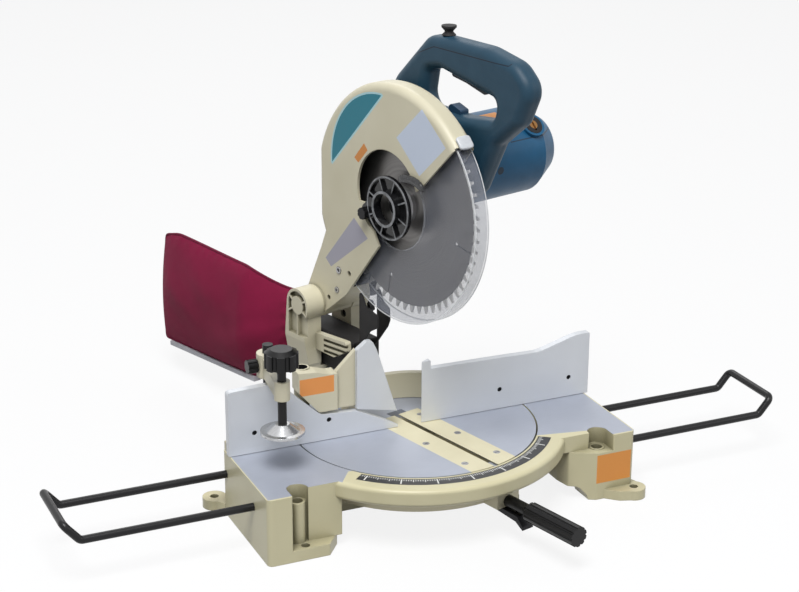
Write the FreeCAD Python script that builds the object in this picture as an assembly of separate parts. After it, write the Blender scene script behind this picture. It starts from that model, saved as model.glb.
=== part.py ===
import FreeCAD, Part
import math
import os

# Bench mitre saw with a 255 mm blade, in millimetres, +Z up
# The origin is on the bench, straight below the mitre pivot
# The fence face is the plane y = 0 and the operator stands on the -Y side
# Parts that turn with the table are drawn with the kerf along Y and then turned by MITRE_REST

# Clearances
RUN_GAP = 0.4
SHAFT_PLAY = 0.05
SEAT = 0.3

# Rest pose
MITRE_REST = 15.0

# Base casting
TABLE_H = 80.0
WING_X = 229.0
WING_FRONT = -121.0
WING_BACK = 26.0
SETBACK_Y = -106.0
BASE_WALL = 7.0
DECK_T = 9.0
CORNER_R = 6.0
TT_R = 143.0
RIM_OUT_R = TT_R + 35.0
RIM_LOW = 59.0
LEDGE_LEFT = 14.0
LEDGE_RIGHT = 60.0
INNER_LEFT_X = TT_R - 7.0
INNER_RIGHT_X = TT_R + 3.0
NOTCH_IN_X = 176.0
NOTCH_OUT_X = 200.0
NOTCH_BACK = -92.0
TUBE_X = 187.0
TUBE_Y = -104.5
TUBE_Y_LEFT = -99.0
TUBE_OUT_R = 9.0
TUBE_BORE_R = 6.5
TUBE_TOP = 63.0
TT_LOW = 37.5
PAD_IN_X = TT_R - 31.0
PAD_FRONT = -58.0
PAD_T = 12.0
PIVOT_BOSS_R = 30.0
BEAM_HALF_W = 28.0
BEAM_H = 26.0
RIB_T = 6.0
FOOT_T = 12.0
FOOT_R = 14.0
FOOT_HOLE_R = 5.0
FRONT_FOOT = (226.0, -128.0)
LEDGE_FOOT = (-183.0, -113.0)
BACK_FOOT = (234.0, 46.0)
SCALE_IN_R = TT_R + 4.5
SCALE_OUT_R = TT_R + 19.0
SCALE_T = 1.0
SCALE_FIRST = 222.0
SCALE_LAST = 323.0

# Turntable
WELL_GAP = 2.0
TT_T = 10.0
TT_SKIRT_T = 8.0
TT_HUB_R = 34.0
PIVOT_R = 8.0
PIVOT_DEPTH = 22.0
PIVOT_HEAD_R = 13.0
SLOT_LEFT = 7.0
SLOT_RIGHT = 16.0
SLOT_BACK = 44.0
SLOT_FRONT = 128.0
SLOT_FLOOR = 62.0
SLOT_WALL = 4.0
BOARD_HALF_W = 33.0
BOARD_BACK = 34.0
BOARD_T = 3.0
BOARD_SPLIT_LEFT = 2.8
BOARD_SPLIT_RIGHT = 3.4
BOARD_SCREW_R = 2.0
BOARD_SCREW_LEN = 8.0
ARM_HALF_W = 16.0
ARM_HIGH = 56.0
ARM_FRONT = TT_R + 22.0
REAR_BLOCK_HALF_W = 36.0
REAR_BLOCK_FRONT = TT_R - 31.0
REAR_FACE = TT_R + 8.0
BEVEL_PIN_R = 12.0
BEVEL_STUD_R = 6.0

# Grip and lock lever
GRIP_R = 11.7
GRIP_Z = 44.6
GRIP_BACK = ARM_FRONT + 37.0
GRIP_LEN = 76.0
GRIP_FLUTES = 10
GRIP_FLUTE_R = 1.5
GRIP_ROD_R = 5.0
GRIP_NECK_R = 7.0
LEVER_W = 5.0
LEVER_TONGUE = 8.0
LEVER_PIN_R = 3.0
LEVER_PIN_AT = (25.0 - TT_R, 46.0)
LEVER_END = -ARM_FRONT - 33.0
LEVER_BEND = 5.0 - ARM_FRONT

# Fence
FENCE_T = 9.0
FENCE_H_LEFT = 79.0
FENCE_H_RIGHT = 76.0
FENCE_FLOOR_GAP = 0.6
FENCE_LOW_H = 33.0
FENCE_LEFT_END = 230.0
FENCE_RIGHT_END = 233.0
FENCE_CURL_X = 170.0
FENCE_DIP_X = 118.0
FENCE_STEP_X = 73.0
FENCE_LEFT_TIP = 21.0
FENCE_RIGHT_TIP = 9.0
ARC_IN_R = 78.0
ARC_OUT_R = 86.0
ARC_H = 33.0
FENCE_FOOT_T = 10.0
FENCE_FOOT_BACK = 25.0
FENCE_BOLT_X = (-199.0, -108.0, 112.0, 206.0)
FENCE_BOLT_R = 3.0
FENCE_BOLT_Z = 25.0

# Sub fence
SUB_PIN = (-134.0, 19.0)
SUB_PIN_R = 4.5
SUB_BARREL_R = 9.0
SUB_T = 7.0
SUB_APEX_H = 114.0
SUB_LOW = 36.0
SUB_DIP = 16.0
SUB_REACH = 116.0
SUB_BODY_T = 20.0

# Wire holders
WIRE_R = 4.5
WIRE_DROP = 27.0
WIRE_IN_X = 192.0
WIRE_OUT_X = 424.0
WIRE_Y_LEFT = (15.0, -75.0)
WIRE_Y_RIGHT = (1.0, -89.0)
WIRE_RISE = 20.0
WIRE_KICK = 17.0
WIRE_BEND_R = 7.0
WIRE_TUBE_R = 8.5
WIRE_SCREW_R = 3.0

# Vise
VISE_ROD = (-174.0, 20.0)
VISE_ROD_R = 6.0
VISE_ROD_TOP = 202.0
VISE_ROD_SINK = 4.0
VISE_SWING = 8.0
VISE_REACH = 71.0
VISE_ARM_LOW = 164.0
VISE_ARM_H = 22.0
VISE_HUB_H = 28.0
VISE_HUB_R = 13.0
VISE_TIP_R = 9.0
VISE_SCREW_R = 5.0
VISE_KNOB_R = 19.0
VISE_KNOB_LOW = 202.0
VISE_KNOB_H = 22.0
VISE_DISC_R = 25.0
VISE_DISC_Z = 124.0
VISE_DISC_T = 8.0

# Head hinge and bevel arm
HINGE_Y = REAR_FACE + 14.0
HINGE_Z = 192.0
HINGE_PIN_R = 7.0
HINGE_HUB_R = 21.0
EAR_IN = 23.0
EAR_OUT = 48.0
HEAD_KNUCKLE_HALF = 22.6
BEVEL_FLANGE_T = 16.0
BEVEL_FLANGE_R = 44.0
COLUMN_LOW = 52.0
COLUMN_BACK = REAR_FACE + 39.0
CHEEK_FRONT = 91.0
CHEEK_LOW = 136.0
CHEEK_HIGH = 157.0
CHEEK_NOSE_H = 162.0
CHEEK_OUT = 31.0
FIN_SLOT = 3.6
FIN_DEEP = 4.0
STOP_PIN_R = 5.0
STOP_PIN_AT = (HINGE_Y + 1.0, HINGE_Z - 27.0)
STOP_PIN_LEN = 34.0

# Dust chute and bag
DUCT_HALF_W = 20.0
DUCT_WALL = 2.5
DUCT_LOW = 112.0
DUCT_HIGH = 158.0
DUCT_FRONT = 92.0
DUCT_BACK = COLUMN_BACK + 22.0
NECK_R = 19.0
HOOD_T = 1.8
HOOD_GAP = 0.6
HOOD_TOP = 226.0
HOOD_LIP_LEFT = 50.0
HOOD_LIP_RIGHT = 61.0
BAG_BACK = DUCT_BACK + 268.0
BAG_HALF_W = 26.0
BAG_EDGE_W = 5.0
BAG_LOW = 58.0
BAG_HIGH = 204.0
BAG_CORNER_R = 8.0
BAG_CLIP_T = 5.0
BAG_CLIP_H = 6.0
BAG_X = -30.0

# Blade and its drive
BLADE_Y = 20.0
BLADE_Z = 346.0
BLADE_R = 127.5
BLADE_T = 1.8
TOOTH_N = 60
TOOTH_DEEP = 9.0
BLADE_BORE_R = 12.7
FLANGE_R = 22.0
FLANGE_T = 5.0
ARBOR_R = 12.6
BOLT_HEAD_R = 9.0
BOLT_HEAD_T = 7.0
EXPANSION_SLOTS = 4

# Blade case
CASE_R = 142.0
CASE_LEFT = 20.0
CASE_RIGHT = 9.8
CASE_WALL = 3.6
CASE_WALL_RIGHT = 3.2
CASE_EDGE_R = 9.0
CASE_BACK = 156.0
WINDOW_R = 54.0
WINDOW_Y = 28.0
WINDOW_Z = 357.0
CASE_CUT_ANGLE = 139.0
CASE_HOLES = ((118.0, 244.0, 4.5), (122.0, 218.0, 4.0), (155.0, 200.0, 4.0), (98.0, 245.0, 3.2), (138.0, 204.0, 3.0))
COVER_PIN_R = 3.5
COVER_PIN_AT = (60.0, 331.0)

# Lower guard
GUARD_R = 137.2
GUARD_T = 1.6
GUARD_LEFT = 13.6
GUARD_RIGHT = 5.8
GUARD_RING_R = 40.0
GUARD_RING_T = 2.4
GUARD_HUB_R = 29.7
GUARD_START = 134.0
GUARD_END = 303.0

# Centre cover
COVER_R = 37.0
COVER_RING_R = 21.0
COVER_T = 5.0
COVER_X = -20.6

# Motor, gear housing and handle
MOTOR_Y = 11.0
MOTOR_Z = 386.0
MOTOR_R = 51.0
MOTOR_END = 190.0
GEAR_R = 55.0
GEAR_END = 48.0
HANDLE_LEFT = 20.4
HANDLE_RIGHT = 48.4
HANDLE_EDGE_R = 11.0
BRUSH_X = 152.0
BRUSH_ANGLE = 135.0
MOTOR_TAPER = 28.0
MOTOR_END_R = 35.0
BRUSH_R = 12.0
TRIGGER_HALF_W = 7.0
TRIGGER_PIN_R = 2.0
TRIGGER_PIN_LEN = 3.0
TRIGGER_PIN_AT = (-31.0, 507.0)
GLAND_Y = -13.0
GLAND_LOW = 536.0
GLAND_TOP = 553.0

WIRE_Z = TABLE_H - WIRE_DROP
AXES = {"x": FreeCAD.Vector(1, 0, 0), "y": FreeCAD.Vector(0, 1, 0), "z": FreeCAD.Vector(0, 0, 1)}


def vec(x, y, z=0.0):
    return FreeCAD.Vector(x, y, z)


def box(xs, ys, zs):
    """Block between low and high values on each axis."""
    size = [high - low for low, high in (xs, ys, zs)]
    return Part.makeBox(*size, vec(xs[0], ys[0], zs[0]))


def rod(start, axis, radius, length):
    """Cylinder from a start point along a named axis."""
    return Part.makeCylinder(radius, length, vec(*start), AXES[axis])


def tube(start, axis, outer, inner, length):
    return rod(start, axis, outer, length).cut(rod(start, axis, inner, length))


def cone(start, axis, r1, r2, length):
    return Part.makeCone(r1, r2, length, vec(*start), AXES[axis])


def joined(shapes):
    """One solid from several that touch or overlap."""
    first = shapes[0]
    return first.multiFuse(shapes[1:]).removeSplitter()


def less(shape, tools):
    return shape.cut(Part.makeCompound(tools)) if tools else shape


def placed(plane, u, v, w):
    """Point with in-plane coordinates u, v at distance w along the plane's normal."""
    return {"xy": vec(u, v, w), "xz": vec(u, w, v), "yz": vec(w, u, v)}[plane]


def outline(points, plane, w):
    """Closed wire through corners (u, v) or (u, v, radius), with an arc at each rounded corner."""
    corners = [(p[0], p[1], p[2] if len(p) > 2 else 0.0) for p in points]
    ends = []
    count = len(corners)
    for i, (u, v, r) in enumerate(corners):
        here = vec(u, v)
        back = vec(*corners[i - 1][:2]) - here
        ahead = vec(*corners[(i + 1) % count][:2]) - here
        if r <= 0:
            ends.append((here, here, here))
            continue
        back.normalize()
        ahead.normalize()
        half = back.getAngle(ahead) / 2
        reach = r / math.tan(half)
        middle = back + ahead
        middle.normalize()
        centre = here + middle * (r / math.sin(half))
        ends.append((here + back * reach, centre - middle * r, here + ahead * reach))
    edges = []
    for i, (start, middle, end) in enumerate(ends):
        if (end - start).Length > 1e-6:
            arc = [placed(plane, p.x, p.y, w) for p in (start, middle, end)]
            edges.append(Part.Arc(*arc).toShape())
        nxt = ends[(i + 1) % count][0]
        if (nxt - end).Length > 1e-6:
            edges.append(Part.makeLine(placed(plane, end.x, end.y, w), placed(plane, nxt.x, nxt.y, w)))
    return Part.Wire(edges)


def plate(points, plane, low, high):
    """Outline swept along its plane's normal from low to high."""
    face = Part.Face(outline(points, plane, low))
    return face.extrude(placed(plane, 0, 0, high - low))


def polar(centre, radius, degrees):
    a = math.radians(degrees)
    return centre[0] + radius * math.cos(a), centre[1] + radius * math.sin(a)


def sector(centre, outer, inner, first, last, low, high):
    """Part ring in the Y-Z plane between two angles, from x = low to x = high."""
    middle = (first + last) / 2
    far = [placed("yz", *polar(centre, outer, a), low) for a in (first, middle, last)]
    near = [placed("yz", *polar(centre, inner, a), low) for a in (last, middle, first)]
    edges = [Part.Arc(*far).toShape(), Part.makeLine(far[2], near[0])]
    edges += [Part.Arc(*near).toShape(), Part.makeLine(near[2], far[0])]
    return Part.Face(Part.Wire(edges)).extrude(vec(high - low, 0, 0))


def bent_rod(points, radius, bend):
    """Round bar along straight runs joined by arcs of one bend radius."""
    corners = [vec(*p) for p in points]
    edges = []
    last = corners[0]
    for here, ahead in zip(corners[1:-1], corners[2:]):
        back = (last - here).normalize()
        on = (ahead - here).normalize()
        half = back.getAngle(on) / 2
        reach = bend / math.tan(half)
        middle = (back + on).normalize()
        centre = here + middle * (bend / math.sin(half))
        start = here + back * reach
        end = here + on * reach
        edges.append(Part.makeLine(last, start))
        edges.append(Part.Arc(start, centre - middle * bend, end).toShape())
        last = end
    edges.append(Part.makeLine(last, corners[-1]))
    path = Part.Wire(edges)
    run = (corners[1] - corners[0]).normalize()
    circle = Part.Wire(Part.makeCircle(radius, corners[0], run))
    return path.makePipeShell([circle], True, False)


def fluted(centre, axis, radius, length, count, groove):
    """Knob body with round grooves along it."""
    body = rod(centre, axis, radius, length)
    tools = []
    for i in range(count):
        u, v = polar((0, 0), radius, 360.0 * i / count)
        offset = {"x": vec(0, u, v), "y": vec(u, 0, v), "z": vec(u, v, 0)}[axis]
        start = vec(*centre) + offset
        tools.append(Part.makeCylinder(groove, length, start, AXES[axis]))
    return less(body, tools)


def turned(shape):
    """The shape moved from kerf coordinates to the rest mitre angle."""
    out = shape.copy()
    out.rotate(vec(0, 0), vec(0, 0, 1), MITRE_REST)
    return out



# Base casting

def sided(points, side):
    """The outline on its own side, or its mirror image about x = 0."""
    return points if side > 0 else [(-p[0], *p[1:]) for p in reversed(points)]


def wing_top(side, low):
    """Deck of one wing with the set-back front and the rounded notch."""
    plan = [(60, WING_BACK), (WING_X, WING_BACK, CORNER_R), (WING_X, WING_FRONT, CORNER_R),
            (NOTCH_OUT_X, WING_FRONT, 2), (NOTCH_OUT_X, SETBACK_Y + 1), (60, SETBACK_Y + 1)]
    slab = plate(sided(plan, side), "xy", low, TABLE_H)
    r = (NOTCH_OUT_X - NOTCH_IN_X) / 2 - 0.5
    notch = [(NOTCH_IN_X, WING_FRONT), (NOTCH_OUT_X, WING_FRONT), (NOTCH_OUT_X, NOTCH_BACK, r),
             (NOTCH_IN_X, NOTCH_BACK, r)]
    return slab.cut(plate(sided(notch, side), "xy", low - 1, TABLE_H + 1))


def left_wing():
    """Left wing: the notch runs down to a low ledge and the foot stops short of the arm's travel."""
    x = INNER_LEFT_X
    top = wing_top(-1, LEDGE_LEFT)
    top = top.cut(box((-x, 0), (WING_FRONT - 1, WING_BACK + 1), (0, RIM_LOW)))
    foot = [(-x, WING_BACK), (-x, -95), (-142, -102, 3), (-157, WING_FRONT, 3), (-WING_X, WING_FRONT, CORNER_R),
            (-WING_X, WING_BACK, CORNER_R)]
    ledge = plate(foot, "xy", 0, LEDGE_LEFT)
    tube_post = rod((-TUBE_X, TUBE_Y_LEFT, 0), "z", TUBE_OUT_R, TUBE_TOP)
    web = box((-TUBE_X, -NOTCH_IN_X + 2), (TUBE_Y_LEFT - 1, TUBE_Y_LEFT + 3), (0, TUBE_TOP))
    slope = [(-100, -1), (-157, -1), (-157, 8), (-122, 50), (-118, RIM_LOW), (-100, RIM_LOW)]
    body = joined([top, ledge, tube_post, web])
    return body.cut(plate(slope, "xz", -100, WING_BACK + 1))


def right_wing():
    """Right wing: a box with a ledge at mid height, its inner corner cut for the arm's travel."""
    x = INNER_RIGHT_X
    top = wing_top(1, LEDGE_RIGHT)
    box_plan = [(x, WING_BACK), (WING_X, WING_BACK, CORNER_R), (WING_X, WING_FRONT, CORNER_R), (180, WING_FRONT, 3),
                (150, -104.5, 3), (x, -85)]
    lower = plate(box_plan, "xy", 0, LEDGE_RIGHT)
    tube_post = rod((TUBE_X, TUBE_Y, 0), "z", TUBE_OUT_R, TUBE_TOP - 2)
    arch = [(100, -1), (172, -1), (170, 6, 4), (161, 16, 10), (100, 19)]
    body = joined([top, lower, tube_post])
    return body.cut(plate(arch, "xz", WING_FRONT - 1, WING_BACK + 1))


def pocket(side, inner_x):
    """Open pockets in a wing's underside on each side of a rib."""
    xs = sorted((side * (inner_x + BASE_WALL), side * (WING_X - BASE_WALL)))
    front = NOTCH_BACK + BASE_WALL
    back = WING_BACK - BASE_WALL
    top = TABLE_H - DECK_T
    rib = -30.0
    return [box(xs, (front, rib - RIB_T / 2), (-1, top)), box(xs, (rib + RIB_T / 2, back), (-1, top))]


def wire_ys(side):
    return WIRE_Y_LEFT if side < 0 else WIRE_Y_RIGHT


def foot_holes():
    return [FRONT_FOOT, LEDGE_FOOT, BACK_FOOT, (-BACK_FOOT[0], BACK_FOOT[1])]


def back_foot(side):
    x, y = side * BACK_FOOT[0], BACK_FOOT[1]
    web = plate(sided([(200, WING_BACK - 4), (WING_X, WING_BACK - 4), (BACK_FOOT[0] + FOOT_R - 2, y),
                       (BACK_FOOT[0] - FOOT_R + 1, y + 4)], side), "xy", 0, FOOT_T)
    return joined([rod((x, y, 0), "z", FOOT_R, FOOT_T), web])


def front_foot():
    x, y = FRONT_FOOT
    web = plate([(188, WING_FRONT + 2), (204, -134, 8), (x, y - FOOT_R + 0.2), (x + FOOT_R - 0.2, y),
                 (WING_X, -100)], "xy", 0, FOOT_T)
    return joined([rod((x, y, 0), "z", FOOT_R, FOOT_T), web])


def pads_and_beam():
    """Hollow beam between the wings with the pivot boss and the two pads under the table."""
    w = BEAM_HALF_W
    reach = INNER_RIGHT_X + 19
    beam = box((-reach, reach), (-w, w), (0, BEAM_H))
    under = box((-INNER_LEFT_X, INNER_LEFT_X), (RIB_T - w, w - RIB_T), (-1, BEAM_H - RIB_T))
    beam = beam.cut(under)
    boss = rod((0, 0, 0), "z", PIVOT_BOSS_R, TT_LOW - SEAT)
    pads = []
    for side in (-1, 1):
        xs = sorted((side * PAD_IN_X, side * (INNER_RIGHT_X + 4)))
        pads.append(box(xs, (PAD_FRONT, WING_BACK), (TT_LOW - SEAT - PAD_T, TT_LOW - SEAT)))
    return joined([beam, boss] + pads)


def arm_room():
    """Space that the clamp arm sweeps under the rim, between its two end angles."""
    w = ARM_HALF_W + 2
    corners = [(0, 20)]
    for degrees, side in ((53.0, 1), (-46.0, -1)):
        a = math.radians(degrees)
        start = (side * w * math.cos(a), abs(w * math.sin(a)))
        end = (start[0] + 240 * math.sin(a), start[1] - 240 * math.cos(a))
        corners += [start, end] if side > 0 else [(0, -260), end, start]
    wedge = plate(corners, "xy", TT_LOW - 2, RIM_LOW)
    return wedge.common(rod((0, 0, TT_LOW - 2), "z", ARM_FRONT + 2, RIM_LOW - TT_LOW + 2))


def base_casting():
    """Hollow table casting with the well, the front rim and the pivot boss."""
    rim = rod((0, 0, RIM_LOW), "z", RIM_OUT_R, TABLE_H - RIM_LOW)
    edges = [e for e in rim.Edges if abs(e.Length - 2 * math.pi * RIM_OUT_R) < 1]
    rim = rim.makeFillet(5, edges)
    rim = rim.common(box((-RIM_OUT_R, RIM_OUT_R), (-RIM_OUT_R, -40), (0, TABLE_H)))
    body = joined([left_wing(), right_wing(), rim])
    cuts = [rod((0, 0, TT_LOW - SEAT), "z", TT_R + WELL_GAP, TABLE_H)]
    cuts += pocket(-1, INNER_LEFT_X) + pocket(1, INNER_RIGHT_X)
    cuts.append(arm_room())
    body = less(body, cuts)
    extra = [pads_and_beam(), front_foot(), back_foot(-1), back_foot(1)]
    for side in (-1, 1):
        xs = sorted((side * (WIRE_IN_X - 22), side * (WING_X - 1)))
        for y in wire_ys(side):
            extra.append(rod((xs[0], y, WIRE_Z), "x", WIRE_TUBE_R, xs[1] - xs[0]))
    body = joined([body] + extra)
    holes = [rod((0, 0, TT_LOW - SEAT - PIVOT_DEPTH), "z", PIVOT_R, PIVOT_DEPTH + 1)]
    holes.append(rod((-TUBE_X, TUBE_Y_LEFT, TUBE_TOP - 40), "z", TUBE_BORE_R, 60))
    holes.append(rod((TUBE_X, TUBE_Y, TUBE_TOP - 40), "z", TUBE_BORE_R, 60))
    for x, y in foot_holes():
        holes.append(rod((x, y, -1), "z", FOOT_HOLE_R, LEDGE_LEFT + 2))
    for side in (-1, 1):
        xs = sorted((side * (WIRE_IN_X - 25), side * (WING_X + 2)))
        for y in wire_ys(side):
            holes.append(rod((xs[0], y, WIRE_Z), "x", WIRE_R + SHAFT_PLAY, xs[1] - xs[0]))
        x, y, reach = wire_screw_at(side)
        holes.append(rod((x, y - reach, WIRE_Z), "y", WIRE_SCREW_R, reach + 30))
    holes.append(rod((*VISE_ROD, TABLE_H - VISE_ROD_SINK - 1), "z", VISE_ROD_R + SHAFT_PLAY, VISE_ROD_SINK + 2))
    holes.append(scale_ring(TABLE_H - SCALE_T, 3.0, 0.3))
    return less(body, holes)


def scale_ring(low, height, grow):
    """Arc of the mitre scale on the rim, as a flat plate."""
    wedge = [(0, 0)]
    for i in range(9):
        a = SCALE_FIRST - grow / 3 + (SCALE_LAST - SCALE_FIRST + 2 * grow / 3) * i / 8
        wedge.append(polar((0, 0), 260, a))
    ring = tube((0, 0, low), "z", SCALE_OUT_R + grow, SCALE_IN_R - grow, height)
    return ring.common(plate(wedge, "xy", low, low + height))


def mitre_scale():
    return scale_ring(TABLE_H - SCALE_T, SCALE_T - 0.2, 0.0)


def wire_screw_at(side):
    """Place of the thumb screw behind a wing and its reach from the back face to the rod."""
    y = WING_BACK
    return side * (WIRE_IN_X + 18), y, y - wire_ys(side)[0] - WIRE_R


def wire_screws():
    """Thumb screws that hold the wire holders, entering from behind the wings."""
    screws = []
    for side in (-1, 1):
        x, y, reach = wire_screw_at(side)
        shank = rod((x, y - reach + SEAT, WIRE_Z), "y", WIRE_SCREW_R - SHAFT_PLAY, reach + 6)
        head = fluted((x, y + 3, WIRE_Z), "y", 8.0, 8.0, 8, 1.2)
        screws.append(joined([shank, head]))
    return Part.makeCompound(screws)


# Table

def turntable():
    """Round table with the blade slot, the clamp arm and the rear bevel block."""
    low = TABLE_H - TT_T
    disc = rod((0, 0, low), "z", TT_R, TT_T)
    skirt = tube((0, 0, TT_LOW), "z", TT_R, TT_R - TT_SKIRT_T, low - TT_LOW + 1)
    hub = rod((0, 0, TT_LOW), "z", TT_HUB_R, low - TT_LOW)
    arm = box((-ARM_HALF_W, ARM_HALF_W), (-ARM_FRONT, -10), (TT_LOW, ARM_HIGH))
    channel = box((-SLOT_LEFT - SLOT_WALL, SLOT_RIGHT + SLOT_WALL), (-SLOT_FRONT - SLOT_WALL, SLOT_BACK + SLOT_WALL),
                  (SLOT_FLOOR - SLOT_WALL, low))
    w = REAR_BLOCK_HALF_W
    spine = box((8 - w, w - 8), (10, REAR_FACE - 10), (TT_LOW, low))
    block = box((-w, w), (REAR_BLOCK_FRONT, REAR_FACE), (TT_LOW, TABLE_H))
    boss = rod((0, REAR_FACE - 16, TABLE_H), "y", DUCT_LOW - TABLE_H - 1, 16)
    ribs = []
    for a in (25, 75, 105, 155, 205, 335):
        rib = box((20, TT_R - 4), (-RIB_T / 2, RIB_T / 2), (TT_LOW + 12, low))
        rib.rotate(vec(0, 0), vec(0, 0, 1), a)
        ribs.append(rib)
    body = joined([disc, skirt, hub, arm, channel, spine, block, boss] + ribs)
    slot = box((-SLOT_LEFT, SLOT_RIGHT), (-SLOT_FRONT, SLOT_BACK), (SLOT_FLOOR, TABLE_H + 1))
    seat = box((-BOARD_HALF_W, BOARD_HALF_W), (-TT_R - 1, BOARD_BACK), (TABLE_H - BOARD_T, TABLE_H + 1))
    pin = rod((0, REAR_FACE - 30, TABLE_H), "y", BEVEL_PIN_R, 60)
    well = rod((0, 0, TT_LOW - 1), "z", PIVOT_R + SHAFT_PLAY, 12)
    head_room = rod((0, 0, TT_LOW + 10), "z", PIVOT_HEAD_R + 1, SLOT_FLOOR - TT_LOW)
    grip_hole = rod((0, -ARM_FRONT - 1, GRIP_Z), "y", GRIP_ROD_R + SHAFT_PLAY, 36)
    lever_room = box((ARM_HALF_W, ARM_HALF_W + LEVER_W + 1.2), (-TT_R - 2, LEVER_PIN_AT[0] + 14), (TT_LOW - 1, 60))
    lever_hole = rod((ARM_HALF_W - 7, *LEVER_PIN_AT), "x", LEVER_PIN_R + SHAFT_PLAY, 10)
    cuts = [slot, seat, pin, well, head_room, grip_hole, lever_room, lever_hole]
    for x, y in board_screw_places():
        cuts.append(rod((x, y, TABLE_H - BOARD_SCREW_LEN - 1), "z", BOARD_SCREW_R + SHAFT_PLAY, BOARD_SCREW_LEN + 2))
    return less(body, cuts)


def kerf_board(side):
    """Replaceable plate beside the blade, let into the table."""
    low = TABLE_H - BOARD_T
    if side < 0:
        points = [(-BOARD_HALF_W, low), (-BOARD_SPLIT_LEFT, low), (-BOARD_SPLIT_LEFT, TABLE_H),
                  (-BOARD_HALF_W, TABLE_H)]
    else:
        points = [(BOARD_SPLIT_RIGHT + BOARD_T, low), (BOARD_HALF_W, low), (BOARD_HALF_W, TABLE_H),
                  (BOARD_SPLIT_RIGHT, TABLE_H)]
    board = plate(points, "xz", -TT_R, BOARD_BACK)
    board = board.common(rod((0, 0, low), "z", TT_R, BOARD_T + 1))
    return less(board, [board_screw(x, y) for x, y in board_screw_places() if x * side > 0])


def board_screw_places():
    return [(side * 24.0, y) for side in (-1, 1) for y in (-118.0, -50.0, 18.0)]


def board_screw(x, y):
    head = cone((x, y, TABLE_H - 2.2), "z", 2.0, 4.2, 2.2)
    return joined([head, rod((x, y, TABLE_H - BOARD_SCREW_LEN), "z", BOARD_SCREW_R, BOARD_SCREW_LEN - 2)])


def board_screws():
    """Countersunk screws of the kerf boards."""
    screws = []
    for x, y in board_screw_places():
        slot = box((x - 3, x + 3), (y - 0.5, y + 0.5), (TABLE_H - 0.8, TABLE_H + 1))
        screws.append(board_screw(x, y).cut(slot))
    return Part.makeCompound(screws)


def pivot_bolt():
    shank = rod((0, 0, TT_LOW - SEAT - PIVOT_DEPTH + 1), "z", PIVOT_R - SHAFT_PLAY, PIVOT_DEPTH + 9.3)
    head = rod((0, 0, TT_LOW + 10 + SEAT), "z", PIVOT_HEAD_R, 8)
    return joined([shank, head])


def grip():
    """Fluted grip on a threaded rod that clamps the table."""
    stem = rod((0, -ARM_FRONT - 2, GRIP_Z), "y", GRIP_ROD_R, 34)
    neck = rod((0, -GRIP_BACK, GRIP_Z), "y", GRIP_NECK_R, GRIP_BACK - ARM_FRONT - SEAT)
    body = fluted((0, -GRIP_BACK - GRIP_LEN, GRIP_Z), "y", GRIP_R, GRIP_LEN, GRIP_FLUTES, GRIP_FLUTE_R)
    cap = cone((0, -GRIP_BACK, GRIP_Z), "y", GRIP_R - 1, GRIP_NECK_R, 6)
    return joined([stem, neck, body, cap])


def lock_lever():
    """Thumb lever that runs beside the clamp arm, then under it and out below the grip."""
    x = ARM_HALF_W + RUN_GAP
    low = TT_LOW - RUN_GAP - LEVER_W
    back, high = LEVER_PIN_AT[0] + 8, LEVER_PIN_AT[1] + 6
    bend, end = LEVER_BEND, LEVER_END
    side = plate([(back, high - 12), (back, high), (bend + 12, high - 2), (bend, high - 8, 4), (bend, low),
                  (bend + 12, low), (bend + 20, high - 12)], "yz", x, x + LEVER_W)
    cross = box((-LEVER_TONGUE, x + LEVER_W), (bend, bend + 11), (low, low + LEVER_W))
    tongue = plate([(bend + 10, low), (bend + 10, low + LEVER_W), (end + 10, low + LEVER_W - 1, 3), (end, low - 6, 2),
                    (end, low - 10), (end + 12, low - 3)], "yz", -LEVER_TONGUE, LEVER_TONGUE)
    pin = rod((x - 6, *LEVER_PIN_AT), "x", LEVER_PIN_R, 8)
    return joined([side, cross, tongue, pin])


# Fence

def fence_plate(points, y0, y1):
    return plate(points, "xz", y0, y1)


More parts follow.
